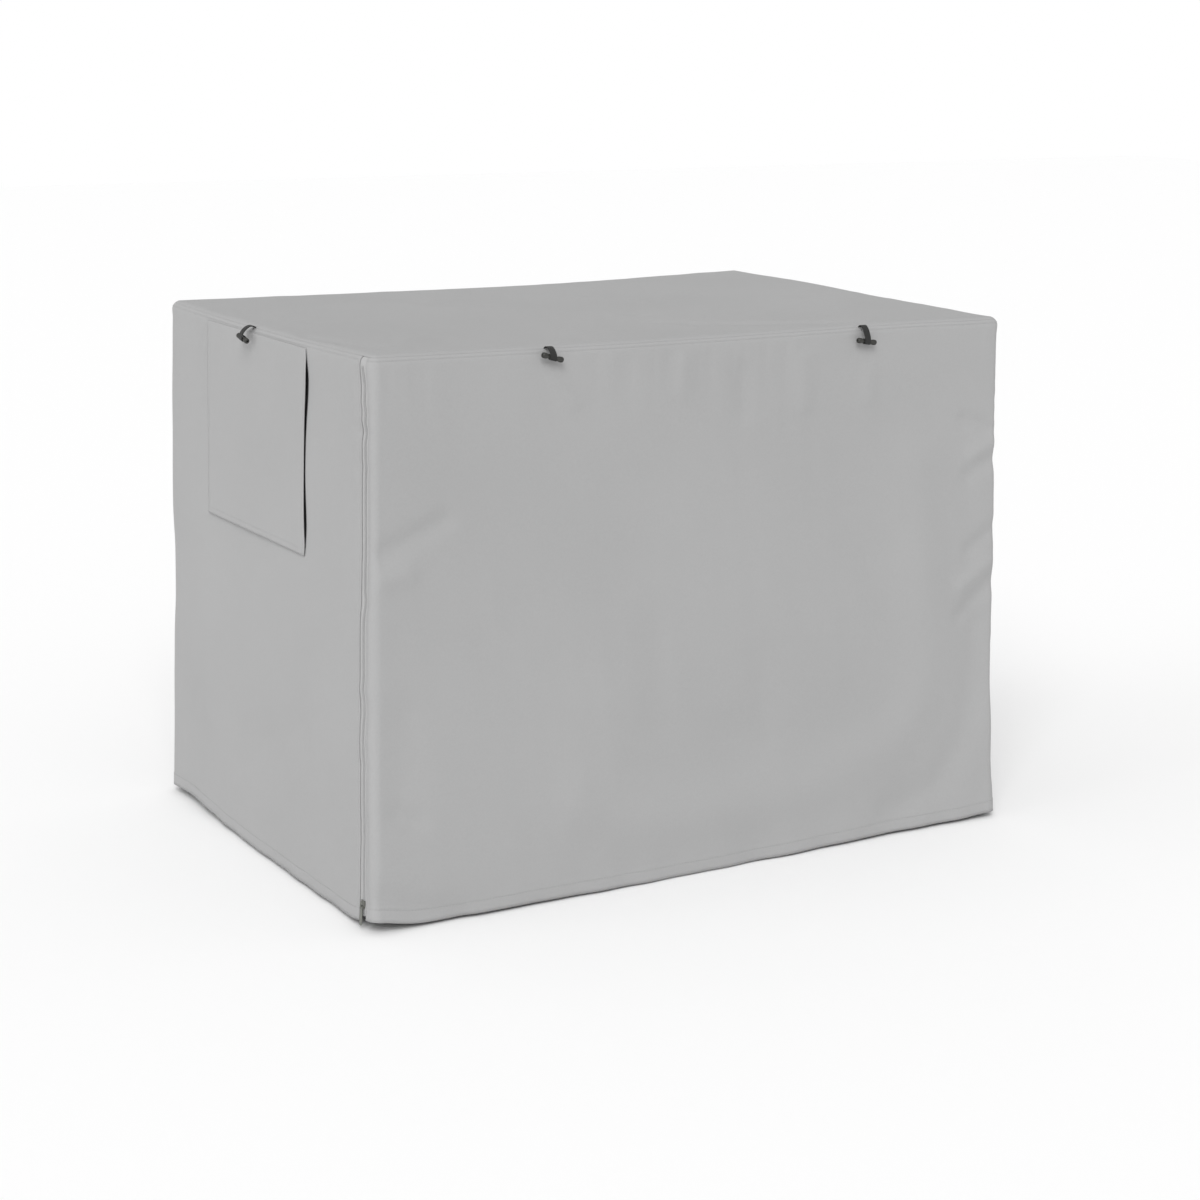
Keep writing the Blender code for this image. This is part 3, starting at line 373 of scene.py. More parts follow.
# many small rounded bars in one mesh: an ellipse carried along each bar and drawn in at both ends
def barCloud(name, centres, ways, ups, size, material, corners=6):
    length, width, tall = size
    sides = unit(np.cross(ways, ups))
    t = np.array([-1.0, -0.72, 0.72, 1.0])
    wide = np.array([0.35, 1.0, 1.0, 0.35])
    angle = 2 * pi * np.arange(corners) / corners
    ring = (sides[:, None, :] * np.cos(angle)[None, :, None] * width / 2
            + ups[:, None, :] * np.sin(angle)[None, :, None] * tall / 2)
    points = (centres[:, None, None, :] + ways[:, None, None, :] * (t * length / 2)[None, :, None, None]
              + ring[:, None, :, :] * wide[None, :, None, None])
    count = len(centres)
    index = np.arange(count * 4 * corners).reshape(count, 4, corners)
    after = np.roll(index, -1, axis=2)
    quads = np.stack([index[:, :-1], after[:, :-1], after[:, 1:], index[:, 1:]], axis=-1).reshape(-1, 4)
    caps = np.concatenate([index[:, 0, ::-1], index[:, -1]])
    mesh = bpy.data.meshes.new(name)
    mesh.from_pydata(points.reshape(-1, 3).tolist(), [], quads.tolist() + caps.tolist())
    return newPiece(name, mesh, material)


sewing = {"pitch": 0.0046, "length": 0.0036, "width": 0.0007, "tall": 0.0005, "proud": 0.0001}
sewnLines = []


# keeps a row of stitches along a straight line of the cloth's map, one every pitch
def sew(cloth, start, end):
    start, end = np.array(start, float), np.array(end, float)
    count = max(2, int(np.linalg.norm(end - start) / sewing["pitch"]))
    share = (np.arange(count) + 0.5)[:, None] / count
    spots = start + (end - start) * share
    step = (end - start) / count / 2
    here, up = onCloth(cloth, spots[:, 0], spots[:, 1])
    ahead, _ = onCloth(cloth, spots[:, 0] + step[0], spots[:, 1] + step[1])
    behind, _ = onCloth(cloth, spots[:, 0] - step[0], spots[:, 1] - step[1])
    sewnLines.append((here, unit(ahead - behind), up))


# Materials

def newMaterial(name, colour, roughness, **fixed):
    made = bpy.data.materials.new(name)
    made.use_nodes = True
    shader = made.node_tree.nodes["Principled BSDF"]
    shader.inputs["Base Color"].default_value = (*colour, 1.0)
    shader.inputs["Roughness"].default_value = roughness
    for socket, value in fixed.items():
        shader.inputs[socket.replace("_", " ")].default_value = value
    return made, made.node_tree, shader


def addNode(tree, kind, **values):
    node = tree.nodes.new(kind)
    for key, value in values.items():
        setattr(node, key, value)
    return node


# a maths node fed with sockets or numbers
def reckon(tree, operation, *inputs):
    node = addNode(tree, "ShaderNodeMath", operation=operation)
    for socket, value in zip(node.inputs, inputs):
        if isinstance(value, (int, float)):
            socket.default_value = value
        else:
            tree.links.new(value, socket)
    return node.outputs[0]


# a smooth step from the range low to high onto newLow to newHigh
def spread(tree, value, low, high, newLow, newHigh):
    node = addNode(tree, "ShaderNodeMapRange", interpolation_type="SMOOTHSTEP")
    tree.links.new(value, node.inputs["Value"])
    for name, number in (("From Min", low), ("From Max", high), ("To Min", newLow), ("To Max", newHigh)):
        node.inputs[name].default_value = number
    return node.outputs["Result"]


# base + value x factor
def plus(tree, base, value, factor):
    return reckon(tree, "ADD", base, reckon(tree, "MULTIPLY", value, factor))


# rows of ridges: |sin(value x pace)|
def ridges(tree, value, pace):
    return reckon(tree, "ABSOLUTE", reckon(tree, "SINE", reckon(tree, "MULTIPLY", value, pace)))


def newGroup(name, outputs, **numbers):
    group = bpy.data.node_groups.new(name, "ShaderNodeTree")
    group.interface.new_socket("Place", in_out="INPUT", socket_type="NodeSocketVector")
    for label, value in numbers.items():
        socket = group.interface.new_socket(label, in_out="INPUT", socket_type="NodeSocketFloat")
        socket.default_value = value
    for label in outputs:
        group.interface.new_socket(label, in_out="OUTPUT", socket_type="NodeSocketFloat")
    return group, addNode(group, "NodeGroupInput"), addNode(group, "NodeGroupOutput")


# plain weave: threads as |sin| ridges each way, over and under by the sign of their product
def makeWeaveGroup():
    group, start, end = newGroup("plainWeave", ["Height"], Threads=1000.0)
    axes = addNode(group, "ShaderNodeSeparateXYZ")
    group.links.new(start.outputs["Place"], axes.inputs[0])
    waves = []
    for axis in "XY":
        turned = reckon(group, "MULTIPLY", axes.outputs[axis], start.outputs["Threads"])
        waves.append(reckon(group, "SINE", reckon(group, "MULTIPLY", turned, pi)))
    over = reckon(group, "GREATER_THAN", reckon(group, "MULTIPLY", *waves), 0.0)
    warp = reckon(group, "MULTIPLY", reckon(group, "ABSOLUTE", waves[0]), over)
    under = reckon(group, "SUBTRACT", 1.0, over)
    weft = reckon(group, "MULTIPLY", reckon(group, "ABSOLUTE", waves[1]), under)
    group.links.new(reckon(group, "ADD", warp, weft), end.inputs["Height"])
    return group


# uneven tone: broad clouds, finer flecks and long slubs of noise, about zero
def makeToneGroup():
    group, start, end = newGroup("unevenTone", ["Tone", "Fleck"], Clouds=6.0, Flecks=420.0)
    sums = []
    for scale, detail in ((start.outputs["Clouds"], 3.0), (start.outputs["Flecks"], 2.0)):
        noise = addNode(group, "ShaderNodeTexNoise")
        noise.inputs["Detail"].default_value = detail
        group.links.new(start.outputs["Place"], noise.inputs["Vector"])
        group.links.new(scale, noise.inputs["Scale"])
        sums.append(reckon(group, "SUBTRACT", noise.outputs["Fac"], 0.5))
    group.links.new(sums[0], end.inputs["Tone"])
    group.links.new(sums[1], end.inputs["Fleck"])
    return group


# webbing: fine ribs across the length and a raised edge along both selvedges
def makeRibGroup():
    group, start, end = newGroup("ribbedTape", ["Height"], Ribs=900.0, Cords=700.0)
    axes = addNode(group, "ShaderNodeSeparateXYZ")
    group.links.new(start.outputs["Place"], axes.inputs[0])
    rib = ridges(group, axes.outputs["Y"], start.outputs["Ribs"])
    cord = ridges(group, axes.outputs["X"], start.outputs["Cords"])
    group.links.new(plus(group, reckon(group, "MULTIPLY", rib, 0.65), cord, 0.35), end.inputs["Height"])
    return group


groups = {"weave": makeWeaveGroup(), "tone": makeToneGroup(), "ribs": makeRibGroup()}


# a group placed by metres over the cloth, or for the tone by metres in the room
def placeGroup(tree, key, **values):
    node = addNode(tree, "ShaderNodeGroup", node_tree=groups[key])
    if key == "tone":
        place = addNode(tree, "ShaderNodeTexCoord").outputs["Object"]
    else:
        place = addNode(tree, "ShaderNodeUVMap", uv_map="clothMap").outputs["UV"]
    tree.links.new(place, node.inputs["Place"])
    for name, value in values.items():
        node.inputs[name].default_value = value
    return node


# base colour between a dark and a light shade by a factor
def tint(tree, shader, factor, dark, light):
    mix = addNode(tree, "ShaderNodeMix", data_type="RGBA")
    tree.links.new(factor, mix.inputs[0])
    mix.inputs[6].default_value, mix.inputs[7].default_value = (*dark, 1.0), (*light, 1.0)
    tree.links.new(mix.outputs[2], shader.inputs["Base Color"])


def bump(tree, shader, levels, distance):
    node = addNode(tree, "ShaderNodeBump")
    node.inputs["Strength"].default_value = 1.0
    node.inputs["Distance"].default_value = distance
    tree.links.new(levels, node.inputs["Height"])
    tree.links.new(node.outputs["Normal"], shader.inputs["Normal"])


# the cloth's colour range, roughness and weave, and how far painted shade darkens the stitch grooves
clothFinish = {
    "dark": (0.336, 0.336, 0.337), "light": (0.404, 0.404, 0.405), "roughness": 0.88, "threads": 950.0,
    "clouds": 4.0, "flecks": 380.0, "cloudShare": 0.5, "fleckShare": 0.5, "weaveShare": 0.16,
    "weaveMean": 0.6, "weaveDepth": 0.0001, "stitchPaintedShade": 0.1, "stitchReach": 0.0016,
}


# woven cloth: tone = 0.5 + clouds + flecks + weave, with painted shade darkening the groove of each stitch
# line
def makeCloth():
    look = clothFinish
    made, tree, shader = newMaterial("greyCloth", look["dark"], look["roughness"], Sheen_Weight=0.1,
                                     Sheen_Roughness=0.45, Specular_IOR_Level=0.25)
    weave = placeGroup(tree, "weave", Threads=look["threads"]).outputs["Height"]
    tone = placeGroup(tree, "tone", Clouds=look["clouds"], Flecks=look["flecks"])
    gap = addNode(tree, "ShaderNodeAttribute", attribute_name="stitchGap")
    groove = spread(tree, gap.outputs["Fac"], 0.0, look["stitchReach"], 1.0, 0.0)
    share = plus(tree, 0.5, tone.outputs["Tone"], look["cloudShare"])
    share = plus(tree, share, tone.outputs["Fleck"], look["fleckShare"])
    share = plus(tree, share, reckon(tree, "SUBTRACT", weave, look["weaveMean"]), look["weaveShare"])
    # painted shade: the colour is darkened along each stitch line's groove, where shade would fall
    share = plus(tree, share, groove, -look["stitchPaintedShade"])
    tint(tree, shader, share, look["dark"], look["light"])
    rough = plus(tree, look["roughness"], tone.outputs["Fleck"], 0.12)
    tree.links.new(rough, shader.inputs["Roughness"])
    level = plus(tree, plus(tree, weave, groove, -3.0), tone.outputs["Fleck"], 0.8)
    bump(tree, shader, level, look["weaveDepth"])
    return made


netFinish = {"dark": (0.03, 0.03, 0.032), "light": (0.06, 0.06, 0.062), "pace": 2100.0,
             "holes": (0.42, 0.58)}


# dark net: bars of the grid stay, the holes between them let light through
def makeNet():
    made, tree, shader = newMaterial("windowNet", netFinish["light"], 0.75, Specular_IOR_Level=0.3)
    mapped = addNode(tree, "ShaderNodeUVMap", uv_map="clothMap")
    axes = addNode(tree, "ShaderNodeSeparateXYZ")
    tree.links.new(mapped.outputs["UV"], axes.inputs[0])
    hole = reckon(tree, "MINIMUM", *[ridges(tree, axes.outputs[axis], netFinish["pace"]) for axis in "XY"])
    solid = spread(tree, hole, *netFinish["holes"], 1.0, 0.0)
    tree.links.new(solid, shader.inputs["Alpha"])
    tint(tree, shader, hole, netFinish["light"], netFinish["dark"])
    bump(tree, shader, reckon(tree, "SUBTRACT", 1.0, hole), 0.0002)
    return made


# ribbed webbing or zip tape
def makeTape(name, dark, light, ribs, cords, depth, roughness):
    made, tree, shader = newMaterial(name, dark, roughness, Sheen_Weight=0.08, Specular_IOR_Level=0.3)
    rib = placeGroup(tree, "ribs", Ribs=ribs, Cords=cords)
    tone = placeGroup(tree, "tone", Clouds=30.0, Flecks=600.0)
    share = plus(tree, reckon(tree, "MULTIPLY", rib.outputs["Height"], 0.6), tone.outputs["Fleck"], 0.7)
    share = plus(tree, share, tone.outputs["Tone"], 0.4)
    tint(tree, shader, share, dark, light)
    bump(tree, shader, rib.outputs["Height"], depth)
    return made


# hard finish: base shade with clouds, roughness that wanders, fine moulding or paint grain
def makeHard(name, dark, light, roughness, grain, depth, **fixed):
    made, tree, shader = newMaterial(name, dark, roughness, **fixed)
    tone = placeGroup(tree, "tone", Clouds=90.0, Flecks=grain)
    share = plus(tree, 0.5, tone.outputs["Tone"], 1.1)
    tint(tree, shader, share, dark, light)
    rough = plus(tree, roughness, tone.outputs["Tone"], 0.35)
    tree.links.new(rough, shader.inputs["Roughness"])
    bump(tree, shader, tone.outputs["Fleck"], depth)
    return made


finishes = {
    "cloth": makeCloth(),
    "net": makeNet(),
    "zipTape": makeTape("zipTape", (0.36, 0.36, 0.36), (0.46, 0.46, 0.46), 2600.0, 3400.0, 0.00012, 0.8),
    "zipCoil": makeHard("zipCoil", (0.36, 0.36, 0.36), (0.44, 0.44, 0.44), 0.45, 900.0, 0.00003),
    "metal": makeHard("zipMetal", (0.17, 0.175, 0.155), (0.24, 0.245, 0.225), 0.42, 1500.0, 0.00004,
                      Metallic=0.75),
    "ribbon": makeTape("darkRibbon", (0.012, 0.012, 0.012), (0.034, 0.034, 0.033), 3100.0, 2600.0,
                       0.00016, 0.8),
    "bar": makeHard("darkBar", (0.019, 0.019, 0.017), (0.03, 0.03, 0.026), 0.48, 1200.0, 0.00004),
    "thread": makeHard("greyThread", (0.36, 0.36, 0.36), (0.42, 0.42, 0.42), 0.7, 2500.0, 0.00002),
}
print("materials made:", len(finishes))


# Cloth panels

# hangs a piece on the frame's root body and hides the CAD node it stands for
def fit(piece, node):
    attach(piece, "root")
    if node:
        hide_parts(*([node] if isinstance(node, str) else node))
    return piece


# shortest distance on the map to any of the lines: ("u", place) or ("v", place)
def nearLines(*lines):
    def reach(u, v):
        along = dict(zip("uv", np.meshgrid(u, v)))
        return np.minimum.reduce([np.abs(along[axis] - place) for axis, place in lines])
    return reach


wallPlan = {
    "upper": 62, "lower": 96, "stitchIn": 0.004, "clear": 0.003,
    "frontSteps": [2, 2, 12, 196, 12, 2, 2],    # leg, corner, face, corner, leg
    "backSteps": 130, "halfCorner": 6, "besideZip": 6, "rightSteps": 104,
    "leftSteps": (34, 60, 24),    # near the zip to the window, beside the window, on to the back corner
}
drops, latitudes = wallRows(wallPlan["upper"], wallPlan["lower"])


# one side panel, sewn along its hem, its crest and the edges that are asked for
def panel(name, columns, kept=None, shiftY=0.0, edges=()):
    points = wallSurface(columns, drops, latitudes, 0.0, shiftY)
    u, v = clothMap(points)
    hemLine, crestLine = v[-1] - rowPlan["hemStitch"], v[rowPlan["crestRow"]]
    lines = [("v", hemLine), ("v", crestLine)]
    lines += [("u", u[-1] - wallPlan["stitchIn"] if side else wallPlan["stitchIn"]) for side in edges]
    piece, cloth = gridPiece(name, points, finishes["cloth"], cover["thick"], kept, nearLines(*lines))
    clear = wallPlan["clear"]
    for line in (hemLine, crestLine):
        sew(cloth, (clear, line), (u[-1] - clear, line))
    for axis, place in lines[2:]:
        sew(cloth, (place, crestLine + clear), (place, hemLine - clear))
    return piece, cloth


frontColumns = columnRuns([(-1, -1, 1, step, -180), (-1, -1, 0.55, step * 0.6, -180), (-1, -1, 0, 0, -180),
                           (-1, -1, 0, 0, -90), (1, -1, 0, 0, -90), (1, -1, 0, 0, 0),
                           (1, -1, 0.55, step * 0.6, 0), (1, -1, 1, step, 0)],
                          wallPlan["frontSteps"], [0, 0, 0, 0.35, 0, 0, 0])
frontPiece, frontCloth = panel("frontCloth", frontColumns, edges=(0, 1))

backSeam = 45.0 - 0.4
halfCorner, besideZip = wallPlan["halfCorner"], wallPlan["besideZip"]
backColumns = columnRuns([(1, 1, 0, 0, 90 - backSeam), (1, 1, 0, 0, 90), (-1, 1, 0, 0, 90),
                          (-1, 1, 0, 0, 90 + backSeam)],
                         [halfCorner, wallPlan["backSteps"], halfCorner], [0, 0.2, 0])
backPiece, backCloth = panel("backCloth", backColumns)


# an end's column at a share of its breadth, 0 beside the zip and 1 at the back corner
def endKey(side, share):
    heading = 0.0 if side > 0 else 180.0
    return (side, 2 * share - 1, 1 - share, (step + channel) * (1 - share), heading)


# the share of an end's breadth that lies at y, at the window's height
def endShare(y):
    share = float(wallShare((rowPlan["windowTop"] + rowPlan["windowFoot"]) / 2))
    half = halfTop[1] + (halfHem[1] - halfTop[1]) * share
    first = legHem * share + step + channel
    return (y + half - first) / (2 * half - first)


rightColumns = columnRuns([endKey(1, 0), endKey(1, 0.03), endKey(1, 1), (1, 1, 0, 0, backSeam)],
                          [besideZip, wallPlan["rightSteps"], halfCorner], [0, 0.1, 0])
rightPiece, rightCloth = panel("rightCloth", rightColumns, edges=(0,))

# The window end: near edge of the opening, near edge of the flap and how far it stands off, by drop
window = {
    "near": -0.15, "far": 0.18, "bowBreadth": 0.05, "bowDrop": (0.3, 0.33), "net": (-0.184, 0.19),
    "netDrop": (0.0145, 0.298), "flapFar": 0.2, "flapDrop": 0.298, "flapGap": 0.0003, "flapClear": 0.0002,
    "curl": 0.045, "flapHem": 0.012, "gapeShare": 0.4, "bowShare": 0.55,
    "edges": [
        (0.01, -0.153, -0.1545, 0.0002), (0.022, -0.157, -0.158, 0.003),
        (0.034, -0.166, -0.159, 0.0048), (0.064, -0.171, -0.1595, 0.0068),
        (0.1, -0.163, -0.155, 0.0048), (0.15, -0.155, -0.151, 0.0028),
        (0.193, -0.153, -0.1495, 0.0022), (0.244, -0.16, -0.1515, 0.0042),
        (0.27, -0.158, -0.153, 0.004), (0.288, -0.151, -0.1525, 0.0024),
        (0.298, -0.15, -0.15, 0.0006),
    ],
}
edgeTable = np.array(window["edges"])
near, far = endShare(window["near"]), endShare(window["far"])
leftColumns = columnRuns([endKey(-1, 0), endKey(-1, 0.03), endKey(-1, near), endKey(-1, far), endKey(-1, 1),
                          (-1, 1, 0, 0, 180 - backSeam)],
                         [besideZip, *wallPlan["leftSteps"], halfCorner], [0, 0.3, 0.3, 0.3, 0])[::-1]
windowRow = np.searchsorted(drops, rowPlan["windowTop"] - 1e-6)
windowColumn = halfCorner + wallPlan["leftSteps"][2]
kept = np.ones((len(drops) - 1, len(leftColumns) - 1), bool)
kept[windowRow:windowRow + wallPlan["upper"], windowColumn:windowColumn + wallPlan["leftSteps"][1]] = False
bow = window["bowShare"] * (splineAt(edgeTable[:, 0], edgeTable[:, 1], drops) - window["near"])
fadeStart, fadeEnd = window["bowDrop"]
bow = bow * softStep((fadeEnd - drops) / (fadeEnd - fadeStart))
acrossY = leftColumns[:, 1] * halfTop[1] + leftColumns[:, 3]
shift = bow[:, None] * np.exp(-((acrossY - window["near"]) / window["bowBreadth"]) ** 2)[None, :]
leftPiece, leftCloth = panel("leftCloth", leftColumns, kept, shift, edges=(1,))
print("side panels hung")


topForm = {
    "steps": (200, 140), "crowd": 0.25, "rim": [1.2, 1.4, 1.6, 1.8, 1.92, 2.0],
    "sway": (0.0007, 0.26), "crinkle": (0.00022, 0.055), "gather": (0.0006, 0.024, 0.05), "noStitch": 1e3,
}


# top: a flat grid whose outermost rows turn down round the crest to the seam; the azimuth of the turn
# comes from the ratio of the two overshoots
def topSurface(flatX, flatY):
    pastX, pastY = np.clip(np.abs(flatX) - 1, 0, 1), np.clip(np.abs(flatY) - 1, 0, 1)
    centreX, centreY = np.clip(flatX, -1, 1) * halfTop[0], np.clip(flatY, -1, 1) * halfTop[1]
    ring = np.maximum(pastX, pastY)
    latitude = pi / 2 - ring * (pi / 2 - seam)
    least = np.minimum(pastX, pastY) / np.maximum(ring, 1e-9)
    around = np.where(pastX >= pastY, least, 2 - least) * pi / 4
    dip, breadth = clothMarks["seamDip"]
    radius = turn - dip * np.exp(-(turn * (latitude - seam) / breadth) ** 2)
    out = radius * np.cos(latitude)
    x = centreX + out * np.cos(around) * np.sign(flatX)
    y = centreY + out * np.sin(around) * np.sign(flatY)
    spots = np.stack([x, y], axis=-1)
    rise = sum(foldRise(spots, smoothLine(line), tall, breadth) for tall, breadth, line in topFolds)
    edge = np.minimum(1 - np.clip(np.abs(flatX), 0, 1), 1 - np.clip(np.abs(flatY), 0, 1))
    deep = np.stack([x, y, 0 * x], axis=-1)
    seed = clothMarks["seed"] + 20
    tall, wave = topForm["sway"]
    rise += tall * softWaves(deep, wave, seed) * softStep(edge / 0.25)
    tall, wave = topForm["crinkle"]
    patches = 0.4 + 0.6 * softStep(0.5 + softWaves(deep, 0.2, seed + 2))
    rise += tall * softWaves(deep, wave, seed + 1) * patches
    tall, wave, reach = topForm["gather"]
    some = softStep(0.45 + 0.7 * softWaves(deep, 0.15, seed + 3))
    rise += tall * some * softWaves(deep, wave, seed + 4) * np.exp(-edge / reach) * softStep(edge / 0.02)
    z = crestHeight(centreX, centreY) - turn + radius * np.sin(latitude) + rise * (1 - softStep(ring * 2))
    return np.stack([x, y, z], axis=-1)


axes = []
for count in topForm["steps"]:
    even = np.linspace(-1, 1, count + 1)
    inner = (1 - topForm["crowd"]) * even + topForm["crowd"] * np.sin(even * pi / 2)
    axes.append(np.concatenate([-np.array(topForm["rim"])[::-1], inner, topForm["rim"]]))
flatX, flatY = np.meshgrid(axes[0], axes[1][::-1])
topPiece, topCloth = gridPiece("topCloth", topSurface(flatX, flatY), finishes["cloth"], cover["thick"],
                               sewn=nearLines(("u", topForm["noStitch"])))
print("top laid")

# Window net and flap
netForm = {"steps": (60, 50), "face": -0.0018, "thick": 0.0005}
netNear, netFar = window["net"]
netColumns = columnRuns([(-1, 0, 0, netFar, 180), (-1, 0, 0, netNear, 180)], [netForm["steps"][0]], [0])
netDrops = np.linspace(*window["netDrop"], netForm["steps"][1])
netPoints = wallSurface(netColumns, netDrops, 0 * netDrops, netForm["face"], fine=False)
netPiece, netCloth = gridPiece("windowNet", netPoints, finishes["net"], netForm["thick"])

flapForm = {
    "crestDrops": [0.01, 0.0118, 0.014, 0.018, 0.022], "lowerStart": 0.027, "lowerSteps": 72,
    "thick": 0.0011, "hemTurn": 0.0003, "stitchIn": 0.005, "hemStitch": 0.009, "sewn": (0.012, 0.011, 0.006),
}
flapFoot = window["flapDrop"]
lowerDrops = np.linspace(flapForm["lowerStart"], flapFoot, flapForm["lowerSteps"])
flapDrops = np.concatenate([flapForm["crestDrops"], lowerDrops])
flapLatitudes = np.where(flapDrops < turn, np.degrees(np.arcsin(np.clip(1 - flapDrops / turn, 0, 1))), 0.0)
flapShares = 1 - np.concatenate([np.linspace(0, 0.06, 9)[:-1], np.linspace(0.06, 0.97, 60), [0.985, 1.0]])
flapEdge = splineAt(edgeTable[:, 0], edgeTable[:, 2], flapDrops)[:, None]
standoff = splineAt(edgeTable[:, 0], edgeTable[:, 3], flapDrops)[:, None]
gape = window["gapeShare"] * np.maximum(standoff, edgeTable[0, 3])
flapY = flapEdge + (window["flapFar"] - flapEdge) * flapShares[None, :]
curl = gape * np.exp(-((flapY - flapEdge) / window["curl"]) ** 2)
clear = window["flapGap"] + window["flapClear"] * softStep((flapDrops[:, None] - turn) / 0.02)
hemStep = flapForm["hemTurn"] * softStep((flapDrops[:, None] - (flapFoot - window["flapHem"])) / 0.0015)
plainColumns = np.tile([-1.0, 0, 0, 0, 180], (len(flapShares), 1))
flapPoints = wallSurface(plainColumns, flapDrops, flapLatitudes,
                         clear + curl + cover["thick"] + hemStep, flapY, fine=False)
flapU, flapV = clothMap(flapPoints)
flapLines = [("u", flapU[-1] - flapForm["stitchIn"]), ("u", flapForm["stitchIn"]),
             ("v", flapV[-1] - flapForm["hemStitch"])]
flapPiece, flapCloth = gridPiece("flapCloth", flapPoints, finishes["cloth"], flapForm["thick"],
                                 sewn=nearLines(*flapLines))
fromTop, fromFoot, fromSide = flapForm["sewn"]
for axis, place in flapLines[:2]:
    sew(flapCloth, (place, fromTop), (place, flapV[-1] - fromFoot))
sew(flapCloth, (fromSide, flapLines[2][1]), (flapU[-1] - fromSide, flapLines[2][1]))
print("window net and flap hung")

# Zips: a woven tape behind the channel, a coil of two rows of loops down its middle
zipForm = {
    "overlap": 0.005, "face": -0.0014, "flush": 0.0009, "thick": 0.0008, "loop": (0.0034, 0.00105, 0.0013),
    "pitch": 0.0014, "start": 0.012, "foot": 0.006, "sink": 0.0004, "loopOut": 0.0008, "loopAside": 0.0014,
    "lean": 0.16, "probe": 0.0004, "steps": [3, 2, 12, 3],
}
zips = {}
for name, side in (("Left", -1), ("Right", 1)):
    heading = 0.0 if side > 0 else 180.0
    back = 2 * zipForm["overlap"] / (2 * halfTop[1] - channel)
    keys = [(side, -1, 0, 0, heading - side * 22.5), (side, -1, 0, 0, heading), (side, -1, 1, step, heading),
            (side, -1, 1, step + channel, heading), endKey(side, back / 2)]
    columns = columnRuns(keys, zipForm["steps"], [0, 0, 0, 0])
    keep = drops <= height - zipForm["foot"] + 1e-6
    # the tape lies nearly flush between the panels' edges and dips under them
    between = np.clip((np.arange(len(columns)) - sum(zipForm["steps"][:2])) / zipForm["steps"][2], 0, 1)
    flush = zipForm["flush"] * softStep(np.minimum(between, 1 - between) / 0.2)
    push = (zipForm["face"] + flush)[None, :]
    if side < 0:
        columns, push = columns[::-1], push[:, ::-1]
    points = wallSurface(columns, drops[keep], latitudes[keep], push)
    tape, tapeCloth = gridPiece("zipTape" + name, points, finishes["zipTape"], zipForm["thick"])
    middle = columnRuns([(side, -1, 1, step + channel / 2 - zipForm["probe"], heading),
                         (side, -1, 1, step + channel / 2 + zipForm["probe"], heading)], [1], [0])
    down = np.arange(zipForm["start"] + 0.004, height - zipForm["foot"] - 0.004, zipForm["pitch"] / 2)
    line = wallSurface(middle, down, 0 * down, zipForm["face"] + zipForm["flush"] - zipForm["sink"])
    centre, sideways = line.mean(axis=1), unit(line[:, 1] - line[:, 0])
    along = unit(np.gradient(centre, axis=0))
    out = np.cross(sideways, along)
    out *= np.sign(out[:, :1] * side)
    hand = np.where(np.arange(len(down)) % 2 == 0, 1.0, -1.0)[:, None]
    way = unit(sideways * hand + along * zipForm["lean"])
    middleOut = centre + out * zipForm["loopOut"] + sideways * hand * zipForm["loopAside"]
    coil = barCloud("zipCoil" + name, middleOut, way, out, zipForm["loop"], finishes["zipCoil"])
    zips[name] = tape, tapeCloth, coil
print("zips closed")


hardForm = {"ease": {"slider": 0.00028, "pull": 0.00024}, "segments": 2, "angle": 35.0}


# a copy of a CAD node with its doubles merged and its edges eased
def easedCopy(node, name, material, width):
    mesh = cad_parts[node].data.copy()
    mesh.name = name
    body = bmesh.new()
    body.from_mesh(mesh)
    bmesh.ops.remove_doubles(body, verts=body.verts, dist=1e-6)
    bmesh.ops.dissolve_limit(body, angle_limit=radians(1), verts=body.verts, edges=body.edges)
    body.to_mesh(mesh)
    body.free()
    piece = newPiece(name, mesh, material)
    bevel = piece.modifiers.new("ease", "BEVEL")
    bevel.width, bevel.segments = width, hardForm["segments"]
    bevel.limit_method, bevel.angle_limit = "ANGLE", radians(hardForm["angle"])
    bevel.harden_normals = True
    return piece


for name in ("left", "right"):
    for kind, width in hardForm["ease"].items():
        node = "zip_" + name + "_" + kind
        piece = easedCopy(node, "zip" + name.capitalize() + kind.capitalize(), finishes["metal"], width)
        fit(piece, node)
print("sliders and pulls hung")

# Toggles: name, side, along, drop of the bar, standoff, tilt in degrees
toggle = {
    "ribbon": (0.0105, 0.0013), "rootLift": 0.0009, "neck": 0.0026, "gap": 0.00045, "wrap": 235.0,
    "arch": 0.4, "archSteps": 24, "wrapSteps": 40, "barSides": 32,
    "bar": [(0.0, 0.0026), (0.0056, 0.0026), (0.0074, 0.0029), (0.0092, 0.0036),
            (0.0112, 0.0039), (0.0134, 0.004), (0.015, 0.0038), (0.016, 0.0033),
            (0.01645, 0.0024), (0.0166, 0.001)],
    "list": [
        ("front_left", "front", -0.256, 0.0135, 0.011, -16.0),
        ("front_right", "front", 0.262, 0.0225, 0.01, -9.0),
        ("end", "left", 0.034, 0.017, 0.014, -9.0),
    ],
}


